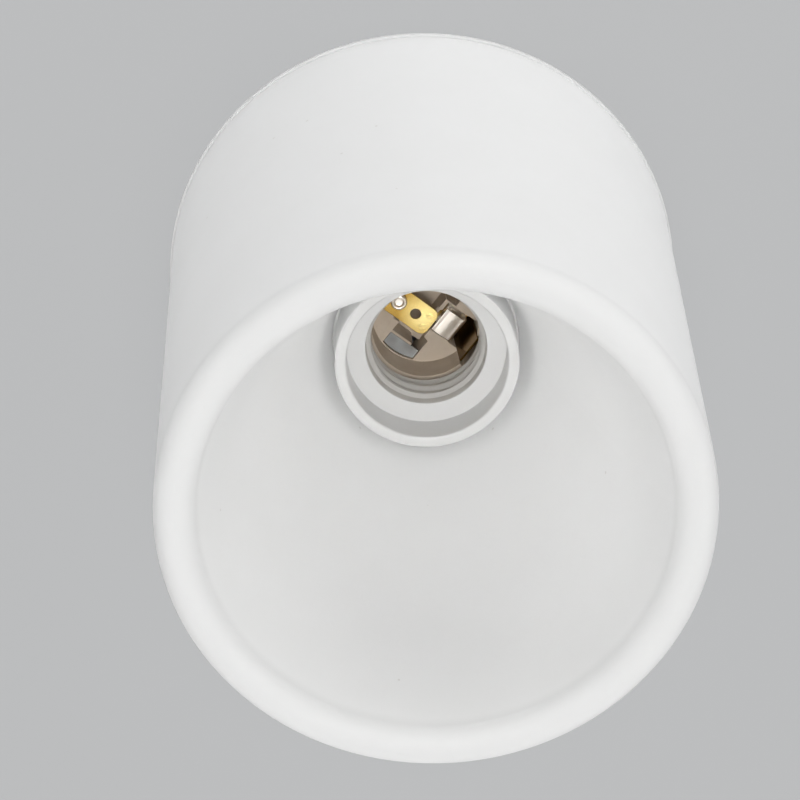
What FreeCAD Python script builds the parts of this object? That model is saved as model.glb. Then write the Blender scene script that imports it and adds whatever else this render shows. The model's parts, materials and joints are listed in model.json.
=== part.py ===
import FreeCAD, Part
import math
import os
import Sketcher
from FreeCAD import Placement, Rotation, Vector

# Ceiling lamp fitting with one screw socket, in millimetres.
# The origin is the centre of the face that meets the ceiling. +Z points up into the ceiling, so every
# height below it is negative. The lamp goes in from below, through the shade's open mouth.

# Shade
SHADE_RADIUS = 60.0
SHADE_HEIGHT = 140.0
TUBE_WALL = 5.5
CONE_WALL = 5.2
RIM_WIDTH = 8.0
FLOOR_DEPTH = 43.0
FLOOR_THICKNESS = 5.0
RIM_OUTER_SHARE = 0.5
RIM_INNER_SHARE = 0.575
REAR_EDGE_ROUND = 0.4
CAVITY_WIDTH = 4.0
CAVITY_ROUND = 1.8
COLLAR_GAP = 0.5

# Back plate, pressed from sheet with a shallow dish that keeps screw heads off the ceiling
PLATE_SHEET = 1.0
PLATE_OVERHANG = 0.5
DISH_DEPTH = 3.0
DISH_CLEARANCE = 0.3
DISH_ROUND = 0.4
SLOT_SHIFT = 2.7
SLOT_LENGTH = 12.0
SLOT_WIDTH = 4.6
TAB_WIDTH = 12.0
TAB_LENGTH = 15.0
TAB_INSET = 0.7
TAB_MIDDLE_ANGLE = 90.0
TAB_SPREAD_ANGLE = 40.0
HOOK_REACH = 2.6
HOOK_WIDTH = 8.0
HOOK_DEPTH = 14.0
HOOK_CLEARANCE = 0.7

# Cable entry and earth terminal, both in the plate's dish
ENTRY_SHIFT = 0.7
ENTRY_RADIUS = 6.0
GROMMET_BORE = 4.0
GROMMET_LIP = 2.2
GROMMET_LIP_HEIGHT = 1.4
GROMMET_BEVEL = 0.6
EARTH_SHIFT = 1.7
WASHER_RADIUS = 4.4
WASHER_THICKNESS = 0.8

# Lamp holder shell and cap
SHELL_MARGIN = 7.9
COLLAR_HEIGHT = 9.0
COLLAR_WALL = 2.6
COLLAR_EDGE = 0.6
FACE_DEPTH = 47.0
FACE_THICKNESS = 2.2
SKIRT_WALL = 2.0
SOCKET_RADIUS = 13.3
SOCKET_MOUTH_RADIUS = 14.1
SOCKET_MOUTH_BEVEL = 1.2
SOCKET_END_DEPTH = 35.0
BARREL_WALL = 1.9
CAP_JOINT_DEPTH = 14.0
CAP_STEP = 0.6
CAP_WALL = 1.7
CAP_END_WALL = 2.5
CAP_EDGE = 0.8
BOSS_RADIUS = 3.5
BOSS_LENGTH = 9.0
HOLDER_SCREW_OFFSET = 14.0
WIRE_NOTCH_WIDTH = 5.0
WIRE_NOTCH_HEIGHT = 4.2

# Contact block, a cup whose bottom is a platform with a channel, a pocket and a window in it
CONTACT_TURN_ANGLE = 37.0
SEAT_GAP = 0.3
CUP_RADIUS = 12.4
CUP_WALL = 2.4
PLATFORM_DEPTH = 26.0
FLANGE_DEPTH = 19.0
FLANGE_THICKNESS = 3.0
BLOCK_BACK_DEPTH = 16.0
CHANNEL_DEPTH = 7.0
CHANNEL_LEFT = 5.0
CHANNEL_RIGHT = 2.0
CHANNEL_NEAR = 9.0
CHANNEL_FAR = 7.9
CHANNEL_STEP = 1.6
CHANNEL_SHOULDER = 5.3
SHOULDER_SLOPE = 1.0
CHANNEL_FLARE = 3.0
CHANNEL_NECK = 5.9
TIP_RECESS_DEPTH = 1.6
TIP_RECESS_END = 3.6
TIP_RECESS_MARGIN = 0.4
FIN_THICKNESS = 0.6
FIN_END = 2.4
POCKET_DEPTH = 6.2
POCKET_START = 3.0
POCKET_END = 9.9
POCKET_CLEARANCE = 0.4
TONGUE_SLOT_END = 13.3
TONGUE_SLOT_CLEARANCE = 0.6

# Steel tab in the block's window: a plate just behind the platform on a leg
TAB_PLATE_DEPTH = 0.5
TAB_PLATE_THICKNESS = 0.8
TAB_GAP = 0.2
TAB_LEG_WIDTH = 3.0

# Centre contact, a brass leaf a little in front of the platform
LEAF_THICKNESS = 0.6
LEAF_WIDTH = 7.2
LEAF_OFFSET = 1.05
LEAF_RISE = 0.4
LEAF_TIP = 3.0
LEAF_BEND = 3.6
LEAF_ROOT = 10.2
LEAF_CORNER = 1.9
LEAF_HOLE_PLACE = 1.75
LEAF_HOLE_RADIUS = 1.25

# Side contact, a brass strip with an upright tongue, and the nickel spring riveted on its foot
SIDE_OFFSET = 1.5
STRIP_THICKNESS = 0.5
STRIP_WIDTH = 7.0
STRIP_START = 4.0
TONGUE_FOOT = 10.6
TONGUE_LEAN = 1.5
TONGUE_HEIGHT = 14.3
SPRING_THICKNESS = 0.4
SPRING_WIDTH = 6.2
SPRING_START = 4.6
SPRING_RISER = 9.0
SPRING_HEIGHT = 6.5
SPRING_CREST_PLACE = 5.6
SPRING_CREST = 1.1
SPRING_LIP_PLACE = 3.4
SPRING_LIP = 0.3

# Rivets
CENTRE_RIVET_PLACE = 6.9
CENTRE_RIVET_SHIFT = -0.3
SIDE_RIVET_PLACE = 6.3
RIVET_HEAD_RADIUS = 1.9
RIVET_HEAD_HEIGHT = 1.2
RIVET_HEAD_BEVEL = 0.5
RIVET_SHANK_RADIUS = 1.2
RIVET_GRIP = 1.8
RIVET_CLEARANCE = 0.3

# Terminals
CLAMP_LENGTH = 9.0
CLAMP_WIDTH = 7.6
CLAMP_HEIGHT = 6.5
CLAMP_START = 3.4
WIRE_RADIUS = 1.6
WIRE_HEIGHT = 4.4
TERMINAL_SCREW_PLACE = 9.8
TERMINAL_SCREW_RADIUS = 1.5
TERMINAL_SCREW_LENGTH = 2.4
TERMINAL_HEAD_RADIUS = 2.6
TERMINAL_HEAD_HEIGHT = 1.6

# Screws and nuts
SCREW_RADIUS = 1.75
SCREW_CLEARANCE = 0.3
SCREW_HEAD_RADIUS = 3.2
SCREW_HEAD_HEIGHT = 2.2
HEAD_BEVEL = 0.5
DRIVER_SLOT_WIDTH = 0.8
DRIVER_SLOT_DEPTH = 0.9
HOLDER_SCREW_LENGTH = 9.0
EARTH_SCREW_LENGTH = 3.6
SHADE_SCREW_LENGTH = 8.9
SHADE_SCREW_DEPTH = 12.0
COUNTERBORE_DEPTH = 2.6
COUNTERBORE_CLEARANCE = 0.5
NUT_RADIUS = 3.6
NUT_LENGTH = 3.0

doc = FreeCAD.newDocument("batten_lamp_holder")
sheet = doc.addObject("Spreadsheet::Sheet", "sizes")


class Size:
    """A length or an angle: the sheet formula that gives it, and its value now."""

    def __init__(self, formula, value):
        self.formula = formula
        self.value = value

    def __add__(self, other):
        other = as_size(other)
        return Size(f"({self.formula} + {other.formula})", self.value + other.value)

    def __sub__(self, other):
        other = as_size(other)
        return Size(f"({self.formula} - {other.formula})", self.value - other.value)

    def __mul__(self, other):
        other = as_size(other)
        return Size(f"({self.formula} * {other.formula})", self.value * other.value)

    def __truediv__(self, other):
        other = as_size(other)
        return Size(f"({self.formula} / {other.formula})", self.value / other.value)

    def __neg__(self):
        return Size(f"(0 - {self.formula})", -self.value)


def as_size(number):
    if isinstance(number, Size):
        return number
    return Size(str(float(number)), float(number))


def sine(angle):
    return Size(f"sin({angle.formula})", math.sin(math.radians(angle.value)))


def cosine(angle):
    return Size(f"cos({angle.formula})", math.cos(math.radians(angle.value)))


rows = []


def driving(alias, value):
    """One driving dimension: a row of the sheet with its name beside its number."""
    rows.append(alias)
    sheet.set(f"A{len(rows)}", alias)
    sheet.set(f"B{len(rows)}", str(value))
    sheet.setAlias(f"B{len(rows)}", alias)
    return Size(f"sizes.{alias}", float(value))


# Shade
shade_radius = driving("shade_radius", SHADE_RADIUS)
shade_height = driving("shade_height", SHADE_HEIGHT)
tube_wall = driving("tube_wall", TUBE_WALL)
cone_wall = driving("cone_wall", CONE_WALL)
rim_width = driving("rim_width", RIM_WIDTH)
floor_depth = driving("floor_depth", FLOOR_DEPTH)
floor_thickness = driving("floor_thickness", FLOOR_THICKNESS)
rim_outer_share = driving("rim_outer_share", RIM_OUTER_SHARE)
rim_inner_share = driving("rim_inner_share", RIM_INNER_SHARE)
rear_edge_round = driving("rear_edge_round", REAR_EDGE_ROUND)
cavity_width = driving("cavity_width", CAVITY_WIDTH)
cavity_round = driving("cavity_round", CAVITY_ROUND)
collar_gap = driving("collar_gap", COLLAR_GAP)

# Back plate
plate_sheet = driving("plate_sheet", PLATE_SHEET)
plate_overhang = driving("plate_overhang", PLATE_OVERHANG)
dish_depth = driving("dish_depth", DISH_DEPTH)
dish_clearance = driving("dish_clearance", DISH_CLEARANCE)
dish_round = driving("dish_round", DISH_ROUND)
slot_shift = driving("slot_shift", SLOT_SHIFT)
slot_length = driving("slot_length", SLOT_LENGTH)
slot_width = driving("slot_width", SLOT_WIDTH)
tab_width = driving("tab_width", TAB_WIDTH)
tab_length = driving("tab_length", TAB_LENGTH)
tab_inset = driving("tab_inset", TAB_INSET)
tab_middle = driving("tab_middle", TAB_MIDDLE_ANGLE)
tab_spread = driving("tab_spread", TAB_SPREAD_ANGLE)
hook_reach = driving("hook_reach", HOOK_REACH)
hook_width = driving("hook_width", HOOK_WIDTH)
hook_depth = driving("hook_depth", HOOK_DEPTH)
hook_clearance = driving("hook_clearance", HOOK_CLEARANCE)

# Cable entry and earth terminal
entry_shift = driving("entry_shift", ENTRY_SHIFT)
entry_radius = driving("entry_radius", ENTRY_RADIUS)
grommet_bore = driving("grommet_bore", GROMMET_BORE)
grommet_lip = driving("grommet_lip", GROMMET_LIP)
grommet_lip_height = driving("grommet_lip_height", GROMMET_LIP_HEIGHT)
grommet_bevel = driving("grommet_bevel", GROMMET_BEVEL)
earth_shift = driving("earth_shift", EARTH_SHIFT)
washer_radius = driving("washer_radius", WASHER_RADIUS)
washer_thickness = driving("washer_thickness", WASHER_THICKNESS)

# Lamp holder shell and cap
shell_margin = driving("shell_margin", SHELL_MARGIN)
collar_height = driving("collar_height", COLLAR_HEIGHT)
collar_wall = driving("collar_wall", COLLAR_WALL)
collar_edge = driving("collar_edge", COLLAR_EDGE)
face_depth = driving("face_depth", FACE_DEPTH)
face_thickness = driving("face_thickness", FACE_THICKNESS)
skirt_wall = driving("skirt_wall", SKIRT_WALL)
socket_radius = driving("socket_radius", SOCKET_RADIUS)
socket_mouth_radius = driving("socket_mouth_radius", SOCKET_MOUTH_RADIUS)
socket_mouth_bevel = driving("socket_mouth_bevel", SOCKET_MOUTH_BEVEL)
socket_end_depth = driving("socket_end_depth", SOCKET_END_DEPTH)
barrel_wall = driving("barrel_wall", BARREL_WALL)
cap_joint_depth = driving("cap_joint_depth", CAP_JOINT_DEPTH)
cap_step = driving("cap_step", CAP_STEP)
cap_wall = driving("cap_wall", CAP_WALL)
cap_end_wall = driving("cap_end_wall", CAP_END_WALL)
cap_edge = driving("cap_edge", CAP_EDGE)
boss_radius = driving("boss_radius", BOSS_RADIUS)
boss_length = driving("boss_length", BOSS_LENGTH)
holder_screw_offset = driving("holder_screw_offset", HOLDER_SCREW_OFFSET)
wire_notch_width = driving("wire_notch_width", WIRE_NOTCH_WIDTH)
wire_notch_height = driving("wire_notch_height", WIRE_NOTCH_HEIGHT)

# Contact block
contact_turn = driving("contact_turn", CONTACT_TURN_ANGLE)
seat_gap = driving("seat_gap", SEAT_GAP)
cup_radius = driving("cup_radius", CUP_RADIUS)
cup_wall = driving("cup_wall", CUP_WALL)
platform_depth = driving("platform_depth", PLATFORM_DEPTH)
flange_depth = driving("flange_depth", FLANGE_DEPTH)
flange_thickness = driving("flange_thickness", FLANGE_THICKNESS)
block_back_depth = driving("block_back_depth", BLOCK_BACK_DEPTH)
channel_depth = driving("channel_depth", CHANNEL_DEPTH)
channel_left = driving("channel_left", CHANNEL_LEFT)
channel_right = driving("channel_right", CHANNEL_RIGHT)
channel_near = driving("channel_near", CHANNEL_NEAR)
channel_far = driving("channel_far", CHANNEL_FAR)
channel_step = driving("channel_step", CHANNEL_STEP)
channel_shoulder = driving("channel_shoulder", CHANNEL_SHOULDER)
shoulder_slope = driving("shoulder_slope", SHOULDER_SLOPE)
channel_flare = driving("channel_flare", CHANNEL_FLARE)
channel_neck = driving("channel_neck", CHANNEL_NECK)
tip_recess_depth = driving("tip_recess_depth", TIP_RECESS_DEPTH)
tip_recess_end = driving("tip_recess_end", TIP_RECESS_END)
tip_recess_margin = driving("tip_recess_margin", TIP_RECESS_MARGIN)
fin_thickness = driving("fin_thickness", FIN_THICKNESS)
fin_end = driving("fin_end", FIN_END)
pocket_depth = driving("pocket_depth", POCKET_DEPTH)
pocket_start = driving("pocket_start", POCKET_START)
pocket_end = driving("pocket_end", POCKET_END)
pocket_clearance = driving("pocket_clearance", POCKET_CLEARANCE)
tongue_slot_end = driving("tongue_slot_end", TONGUE_SLOT_END)
tongue_slot_clearance = driving("tongue_slot_clearance", TONGUE_SLOT_CLEARANCE)

# Steel tab in the block's window: a plate just behind the platform on a leg
tab_plate_depth = driving("tab_plate_depth", TAB_PLATE_DEPTH)
tab_plate_thickness = driving("tab_plate_thickness", TAB_PLATE_THICKNESS)
tab_gap = driving("tab_gap", TAB_GAP)
tab_leg_width = driving("tab_leg_width", TAB_LEG_WIDTH)

# Centre contact
leaf_thickness = driving("leaf_thickness", LEAF_THICKNESS)
leaf_width = driving("leaf_width", LEAF_WIDTH)
leaf_offset = driving("leaf_offset", LEAF_OFFSET)
leaf_rise = driving("leaf_rise", LEAF_RISE)
leaf_tip = driving("leaf_tip", LEAF_TIP)
leaf_bend = driving("leaf_bend", LEAF_BEND)
leaf_root = driving("leaf_root", LEAF_ROOT)
leaf_corner = driving("leaf_corner", LEAF_CORNER)
leaf_hole_place = driving("leaf_hole_place", LEAF_HOLE_PLACE)
leaf_hole_radius = driving("leaf_hole_radius", LEAF_HOLE_RADIUS)

# Side contact
side_offset = driving("side_offset", SIDE_OFFSET)
strip_thickness = driving("strip_thickness", STRIP_THICKNESS)
strip_width = driving("strip_width", STRIP_WIDTH)
strip_start = driving("strip_start", STRIP_START)
tongue_foot = driving("tongue_foot", TONGUE_FOOT)
tongue_lean = driving("tongue_lean", TONGUE_LEAN)
tongue_height = driving("tongue_height", TONGUE_HEIGHT)
spring_thickness = driving("spring_thickness", SPRING_THICKNESS)
spring_width = driving("spring_width", SPRING_WIDTH)
spring_start = driving("spring_start", SPRING_START)
spring_riser = driving("spring_riser", SPRING_RISER)
spring_height = driving("spring_height", SPRING_HEIGHT)
spring_crest_place = driving("spring_crest_place", SPRING_CREST_PLACE)
spring_crest = driving("spring_crest", SPRING_CREST)
spring_lip_place = driving("spring_lip_place", SPRING_LIP_PLACE)
spring_lip = driving("spring_lip", SPRING_LIP)

# Rivets
centre_rivet_place = driving("centre_rivet_place", CENTRE_RIVET_PLACE)
centre_rivet_shift = driving("centre_rivet_shift", CENTRE_RIVET_SHIFT)
side_rivet_place = driving("side_rivet_place", SIDE_RIVET_PLACE)
rivet_head_radius = driving("rivet_head_radius", RIVET_HEAD_RADIUS)
rivet_head_height = driving("rivet_head_height", RIVET_HEAD_HEIGHT)
rivet_head_bevel = driving("rivet_head_bevel", RIVET_HEAD_BEVEL)
rivet_shank_radius = driving("rivet_shank_radius", RIVET_SHANK_RADIUS)
rivet_grip = driving("rivet_grip", RIVET_GRIP)
rivet_clearance = driving("rivet_clearance", RIVET_CLEARANCE)

# Terminals
clamp_length = driving("clamp_length", CLAMP_LENGTH)
clamp_width = driving("clamp_width", CLAMP_WIDTH)
clamp_height = driving("clamp_height", CLAMP_HEIGHT)
clamp_start = driving("clamp_start", CLAMP_START)
wire_radius = driving("wire_radius", WIRE_RADIUS)
wire_height = driving("wire_height", WIRE_HEIGHT)
terminal_screw_place = driving("terminal_screw_place", TERMINAL_SCREW_PLACE)
terminal_screw_radius = driving("terminal_screw_radius", TERMINAL_SCREW_RADIUS)
terminal_screw_length = driving("terminal_screw_length", TERMINAL_SCREW_LENGTH)
terminal_head_radius = driving("terminal_head_radius", TERMINAL_HEAD_RADIUS)
terminal_head_height = driving("terminal_head_height", TERMINAL_HEAD_HEIGHT)

# Screws and nuts
screw_radius = driving("screw_radius", SCREW_RADIUS)
screw_clearance = driving("screw_clearance", SCREW_CLEARANCE)
screw_head_radius = driving("screw_head_radius", SCREW_HEAD_RADIUS)
screw_head_height = driving("screw_head_height", SCREW_HEAD_HEIGHT)
head_bevel = driving("head_bevel", HEAD_BEVEL)
driver_slot_width = driving("driver_slot_width", DRIVER_SLOT_WIDTH)
driver_slot_depth = driving("driver_slot_depth", DRIVER_SLOT_DEPTH)
holder_screw_length = driving("holder_screw_length", HOLDER_SCREW_LENGTH)
earth_screw_length = driving("earth_screw_length", EARTH_SCREW_LENGTH)
shade_screw_length = driving("shade_screw_length", SHADE_SCREW_LENGTH)
shade_screw_depth = driving("shade_screw_depth", SHADE_SCREW_DEPTH)
counterbore_depth = driving("counterbore_depth", COUNTERBORE_DEPTH)
counterbore_clearance = driving("counterbore_clearance", COUNTERBORE_CLEARANCE)
nut_radius = driving("nut_radius", NUT_RADIUS)
nut_length = driving("nut_length", NUT_LENGTH)

doc.recompute()

UP = Vector(0, 0, 1)
ALONG_X = Rotation(Vector(0, 1, 0), 90)


# Helpers

def hold(sketch, point, kind, axis, distance):
    """Ties one corner of a sketch to one of its coordinates, or to the axis itself where that is zero."""
    if distance.formula == "0.0":
        sketch.addConstraint(Sketcher.Constraint("PointOnObject", point, 1, axis))
        return
    index = sketch.addConstraint(Sketcher.Constraint(kind, -1, 1, point, 1, distance.value))
    sketch.setExpression(f"Constraints[{index}]", distance.formula)


def outline(body, name, role, corners, lift=None):
    """A closed outline of straight edges on one of the body's planes, lifted along that plane's normal."""
    sketch = body.newObject("Sketcher::SketchObject", name)
    plane = [part for part in body.Origin.OriginFeatures if part.Role == role][0]
    sketch.AttachmentSupport = [(plane, "")]
    sketch.MapMode = "FlatFace"
    if lift is not None:
        sketch.setExpression("AttachmentOffset.Base.z", lift.formula)
    corners = [(as_size(x), as_size(y)) for x, y in corners]
    points = [Vector(x.value, y.value, 0) for x, y in corners]
    for start, end in zip(points, points[1:] + points[:1]):
        sketch.addGeometry(Part.LineSegment(start, end), False)
    for index, (x, y) in enumerate(corners):
        following = (index + 1) % len(corners)
        sketch.addConstraint(Sketcher.Constraint("Coincident", index, 2, following, 1))
        hold(sketch, index, "DistanceX", -2, x)
        hold(sketch, index, "DistanceY", -1, y)
    return sketch


def revolved(name, corners, about="V_Axis"):
    """A body turned about Z from (radius, height) corners, or about X from (place, radius) corners."""
    body = doc.addObject("PartDesign::Body", name)
    profile = outline(body, f"{name}_profile", "XZ_Plane", corners)
    turn = body.newObject("PartDesign::Revolution", f"{name}_turn")
    turn.Profile = profile
    turn.ReferenceAxis = (profile, [about])
    turn.Angle = 360
    doc.recompute()
    return body


def strip(name, corners, width, offset):
    """A strip bent in the XZ plane: its side outline padded both ways from an offset along Y."""
    body = doc.addObject("PartDesign::Body", name)
    profile = outline(body, f"{name}_profile", "XZ_Plane", corners, -offset)
    pad = body.newObject("PartDesign::Pad", f"{name}_pad")
    pad.Profile = profile
    pad.SideType = "Symmetric"
    pad.setExpression("Length", width.formula)
    doc.recompute()
    return body


def prism(name, corners, low, high):
    """An upright prism from a plan outline, between two heights."""
    body = doc.addObject("PartDesign::Body", name)
    profile = outline(body, f"{name}_profile", "XY_Plane", corners, low)
    pad = body.newObject("PartDesign::Pad", f"{name}_pad")
    pad.Profile = profile
    pad.setExpression("Length", (high - low).formula)
    doc.recompute()
    return body


def ring_edges(body, spots):
    """Names of a turned body's round edges at the given (radius, height) spots."""
    names = []
    for index, edge in enumerate(body.Shape.Edges):
        if not isinstance(edge.Curve, Part.Circle):
            continue
        for radius, height in spots:
            off_radius = abs(edge.Curve.Radius - as_size(radius).value)
            off_height = abs(edge.Curve.Center.z - as_size(height).value)
            if max(off_radius, off_height) < 0.01:
                names.append(f"Edge{index + 1}")
    return names


def edges_at(body, spots):
    """Names of a body's edges whose middles are at the given points."""
    names = []
    for index, edge in enumerate(body.Shape.Edges):
        for spot in spots:
            target = Vector(*[as_size(part).value for part in spot])
            if edge.CenterOfMass.distanceToPoint(target) < 0.05:
                names.append(f"Edge{index + 1}")
    return names


def rounded(body, name, edges, radius):
    """Rounds the named edges of a body."""
    base = body.Tip
    fillet = body.newObject("PartDesign::Fillet", name)
    fillet.Base = (base, edges)
    fillet.setExpression("Radius", radius.formula)
    doc.recompute()


def driver_slot(body, corners):
    """Cuts a screwdriver slot across a head, from the slot's rectangle in the XZ plane."""
    mark = outline(body, f"{body.Name}_slot", "XZ_Plane", corners)
    pocket = body.newObject("PartDesign::Pocket", f"{body.Name}_slot_cut")
    pocket.Profile = mark
    pocket.SideType = "Symmetric"
    pocket.setExpression("Length", driver_slot_width.formula)
    doc.recompute()


def place(thing, x, y, z, rotation=None):
    """Puts a thing at a point whose coordinates are bound to sizes."""
    x, y, z = as_size(x), as_size(y), as_size(z)
    thing.Placement = Placement(Vector(x.value, y.value, z.value), rotation or Rotation())
    for letter, part in (("x", x), ("y", y), ("z", z)):
        if part.formula != "0.0":
            thing.setExpression(f"Placement.Base.{letter}", part.formula)
    return thing


def about_z(thing, angle, height=None):
    """Turns a thing about the Z axis by an angle of the sheet, and lifts it."""
    thing.Placement = Placement(Vector(), Rotation(UP, angle.value))
    thing.setExpression("Placement.Rotation.Angle", angle.formula)
    if height is not None:
        thing.setExpression("Placement.Base.z", height.formula)
    return thing


def box(name, low, high):
    """A box between two opposite corners."""
    thing = doc.addObject("Part::Box", name)
    low = [as_size(part) for part in low]
    high = [as_size(part) for part in high]
    for side, start, end in zip(("Length", "Width", "Height"), low, high):
        thing.setExpression(side, (end - start).formula)
    return place(thing, *low)


def rod(name, radius, x, y, low, high):
    """An upright round bar between two heights."""
    thing = doc.addObject("Part::Cylinder", name)
    thing.setExpression("Radius", radius.formula)
    thing.setExpression("Height", (high - low).formula)
    return place(thing, x, y, low)


def rod_along_x(name, radius, low, high, y, z):
    """A round bar along X between two places."""
    thing = doc.addObject("Part::Cylinder", name)
    thing.setExpression("Radius", radius.formula)
    thing.setExpression("Height", (high - low).formula)
    return place(thing, low, y, z, ALONG_X)


def joined(name, things):
    fuse = doc.addObject("Part::MultiFuse", name)
    fuse.Shapes = things
    fuse.Refine = True
    return fuse


def cut(name, base, tools):
    """The base less every tool."""
    result = doc.addObject("Part::Cut", name)
    result.Base = base
    result.Tool = tools[0] if len(tools) == 1 else joined(f"{name}_tools", tools)
    result.Refine = True
    return result


def common(name, first, second):
    """Only what two things share."""
    result = doc.addObject("Part::Common", name)
    result.Base = first
    result.Tool = second
    return result


def socket_spot(along, across):
    """World x and y of a point given in the turned frame of the contact block."""
    x = cosine(contact_turn) * along - sine(contact_turn) * across
    y = sine(contact_turn) * along + cosine(contact_turn) * across
    return x, y


nodes = {}


def node(name, thing):
    """Registers a finished sub-part under its own name."""
    thing.Label = name
    nodes[name] = thing


# Heights and radii that several pieces share

plate_back = -dish_depth
plate_front = -(dish_depth + plate_sheet)
tube_bore = shade_radius - tube_wall
dish_radius = tube_bore - dish_clearance
shell_radius = socket_radius + shell_margin
collar_depth = face_depth + collar_height
cone_mouth_radius = shade_radius - rim_width
rim_outer_round = rim_width * rim_outer_share
rim_inner_round = rim_width * rim_inner_share
ring_middle = (dish_radius + shell_radius) / 2
slot_pitch = (ring_middle - slot_shift) * 2
entry_offset = ring_middle - entry_shift
earth_offset = ring_middle - earth_shift
screw_bore = screw_radius + screw_clearance
tab_face = tube_bore - tab_inset
tab_back = tab_face - plate_sheet
tab_angles = [tab_middle - tab_spread, tab_middle + tab_spread]
shade_screw_height = -shade_screw_depth
head_seat = shade_radius - counterbore_depth
hook_top = -hook_depth
skirt_bore = shell_radius - skirt_wall
cap_spigot = skirt_bore - seat_gap
flange_back = -flange_depth
flange_front = -(flange_depth + flange_thickness)
cap_joint = -cap_joint_depth
cap_inside = plate_front - cap_end_wall
block_back = -block_back_depth
platform = -platform_depth
clamp_top = block_back + clamp_height
wire_level = block_back + wire_height
rivet_end = block_back + rivet_grip
pocket_floor = platform + pocket_depth
OVERSHOOT = 1.0


# Shade: an outer tube and an inner cone, cast as one round the rim

rim = -shade_height
floor_front = -floor_depth
floor_back = floor_front + floor_thickness
hole_radius = shell_radius + collar_gap
cone_slope = (cone_mouth_radius - hole_radius) / (shade_height - floor_depth)
cone_back_foot = cone_mouth_radius + cone_wall
cavity_inner = tube_bore - cavity_width
cavity_bottom = rim + (cone_back_foot - cavity_inner) / cone_slope
floor_back_radius = cone_back_foot - cone_slope * (floor_back - rim)
tube_top = -plate_sheet

casting = revolved("shade_casting", [
    (cone_mouth_radius, rim),
    (shade_radius, rim),
    (shade_radius, tube_top),
    (tube_bore, tube_top),
    (tube_bore, cavity_bottom),
    (cavity_inner, cavity_bottom),
    (floor_back_radius, floor_back),
    (hole_radius, floor_back),
    (hole_radius, floor_front),
])
rounded(casting, "rim_outer", ring_edges(casting, [(shade_radius, rim)]), rim_outer_round)
rounded(casting, "rim_inner", ring_edges(casting, [(cone_mouth_radius, rim)]), rim_inner_round)
cavity_corners = [(tube_bore, cavity_bottom), (cavity_inner, cavity_bottom)]
rounded(casting, "cavity_corners", ring_edges(casting, cavity_corners), cavity_round)
rear_corners = [(shade_radius, tube_top), (tube_bore, tube_top), (hole_radius, floor_front)]
rounded(casting, "rear_corners", ring_edges(casting, rear_corners), rear_edge_round)

shade_tools = []
for number, angle in enumerate(tab_angles, start=1):
    hole = rod_along_x(
        f"shade_hole_{number}", screw_bore, tube_bore - OVERSHOOT, shade_radius + OVERSHOOT, 0, 0
    )
    counterbore = rod_along_x(
        f"counterbore_{number}", screw_head_radius + counterbore_clearance,
        head_seat, shade_radius + OVERSHOOT, 0, 0,
    )
    drilling = joined(f"shade_drilling_{number}", [hole, counterbore])
    shade_tools.append(about_z(drilling, angle, shade_screw_height))
shade_tools.append(box(
    "hook_pocket",
    (-(hook_width / 2 + hook_clearance), -(tab_face + hook_reach + hook_clearance),
     hook_top - plate_sheet - hook_clearance - hook_clearance),
    (hook_width / 2 + hook_clearance, -(tube_bore - OVERSHOOT), hook_top),
))
node("shade", cut("shade_body", casting, shade_tools))


# Back plate: pressed dish, two screw tabs on one side, one hooked tab opposite them

pressing = revolved("plate_pressing", [
    (0, plate_back),
    (dish_radius - plate_sheet, plate_back),
    (dish_radius - plate_sheet, 0),
    (shade_radius + plate_overhang, 0),
    (shade_radius + plate_overhang, -plate_sheet),
    (dish_radius, -plate_sheet),
    (dish_radius, plate_front),
    (0, plate_front),
])
dish_corners = [(dish_radius, plate_front), (dish_radius - plate_sheet, 0)]
rounded(pressing, "dish_corners", ring_edges(pressing, dish_corners), dish_round)

tab_low = plate_front - tab_length
tab_root = plate_front + plate_sheet / 2
plate_pieces = [pressing]
for number, angle in enumerate(tab_angles, start=1):
    blank = box(
        f"tab_blank_{number}", (tab_back, -tab_width / 2, tab_low), (tab_face, tab_width / 2, tab_root)
    )
    hole = rod_along_x(
        f"tab_hole_{number}", screw_bore, tab_back - OVERSHOOT, tab_face + OVERSHOOT,
        0, shade_screw_height,
    )
    plate_pieces.append(about_z(cut(f"tab_{number}", blank, [hole]), angle))
plate_pieces.append(box(
    "hook_tab", (-tab_width / 2, -tab_face, tab_low), (tab_width / 2, -tab_back, tab_root)
))
plate_pieces.append(box(
    "hook_lug",
    (-hook_width / 2, -(tab_face + hook_reach), hook_top - plate_sheet),
    (hook_width / 2, -(tab_face - plate_sheet / 2), hook_top),
))

plate_tools = []
slot_end = slot_width / 2
for number, side in ((1, -1), (2, 1)):
    centre = slot_pitch / 2 * side
    reach = slot_length / 2 - slot_end
    plate_tools.append(box(
        f"slot_middle_{number}",
        (centre - reach, -slot_end, plate_front - OVERSHOOT),
        (centre + reach, slot_end, plate_back + OVERSHOOT),
    ))
    for end, x in (("a", centre - reach), ("b", centre + reach)):
        plate_tools.append(rod(
            f"slot_end_{number}{end}", slot_end, x, 0, plate_front - OVERSHOOT, plate_back + OVERSHOOT
        ))
plate_tools.append(rod(
    "entry_hole", entry_radius, 0, entry_offset, plate_front - OVERSHOOT, plate_back + OVERSHOOT
))
plate_tools.append(rod(
    "earth_hole", screw_bore, 0, -earth_offset, plate_front - OVERSHOOT, plate_back + OVERSHOOT
))
for number, side in ((1, -1), (2, 1)):
    x, y = socket_spot(as_size(0), holder_screw_offset * side)
    plate_tools.append(rod(
        f"holder_screw_hole_{number}", screw_bore, x, y, plate_front - OVERSHOOT, plate_back + OVERSHOOT
    ))
node("back_plate", cut("plate_body", joined("plate_blank", plate_pieces), plate_tools))


# Clinch nuts on the backs of the two screw tabs

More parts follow.
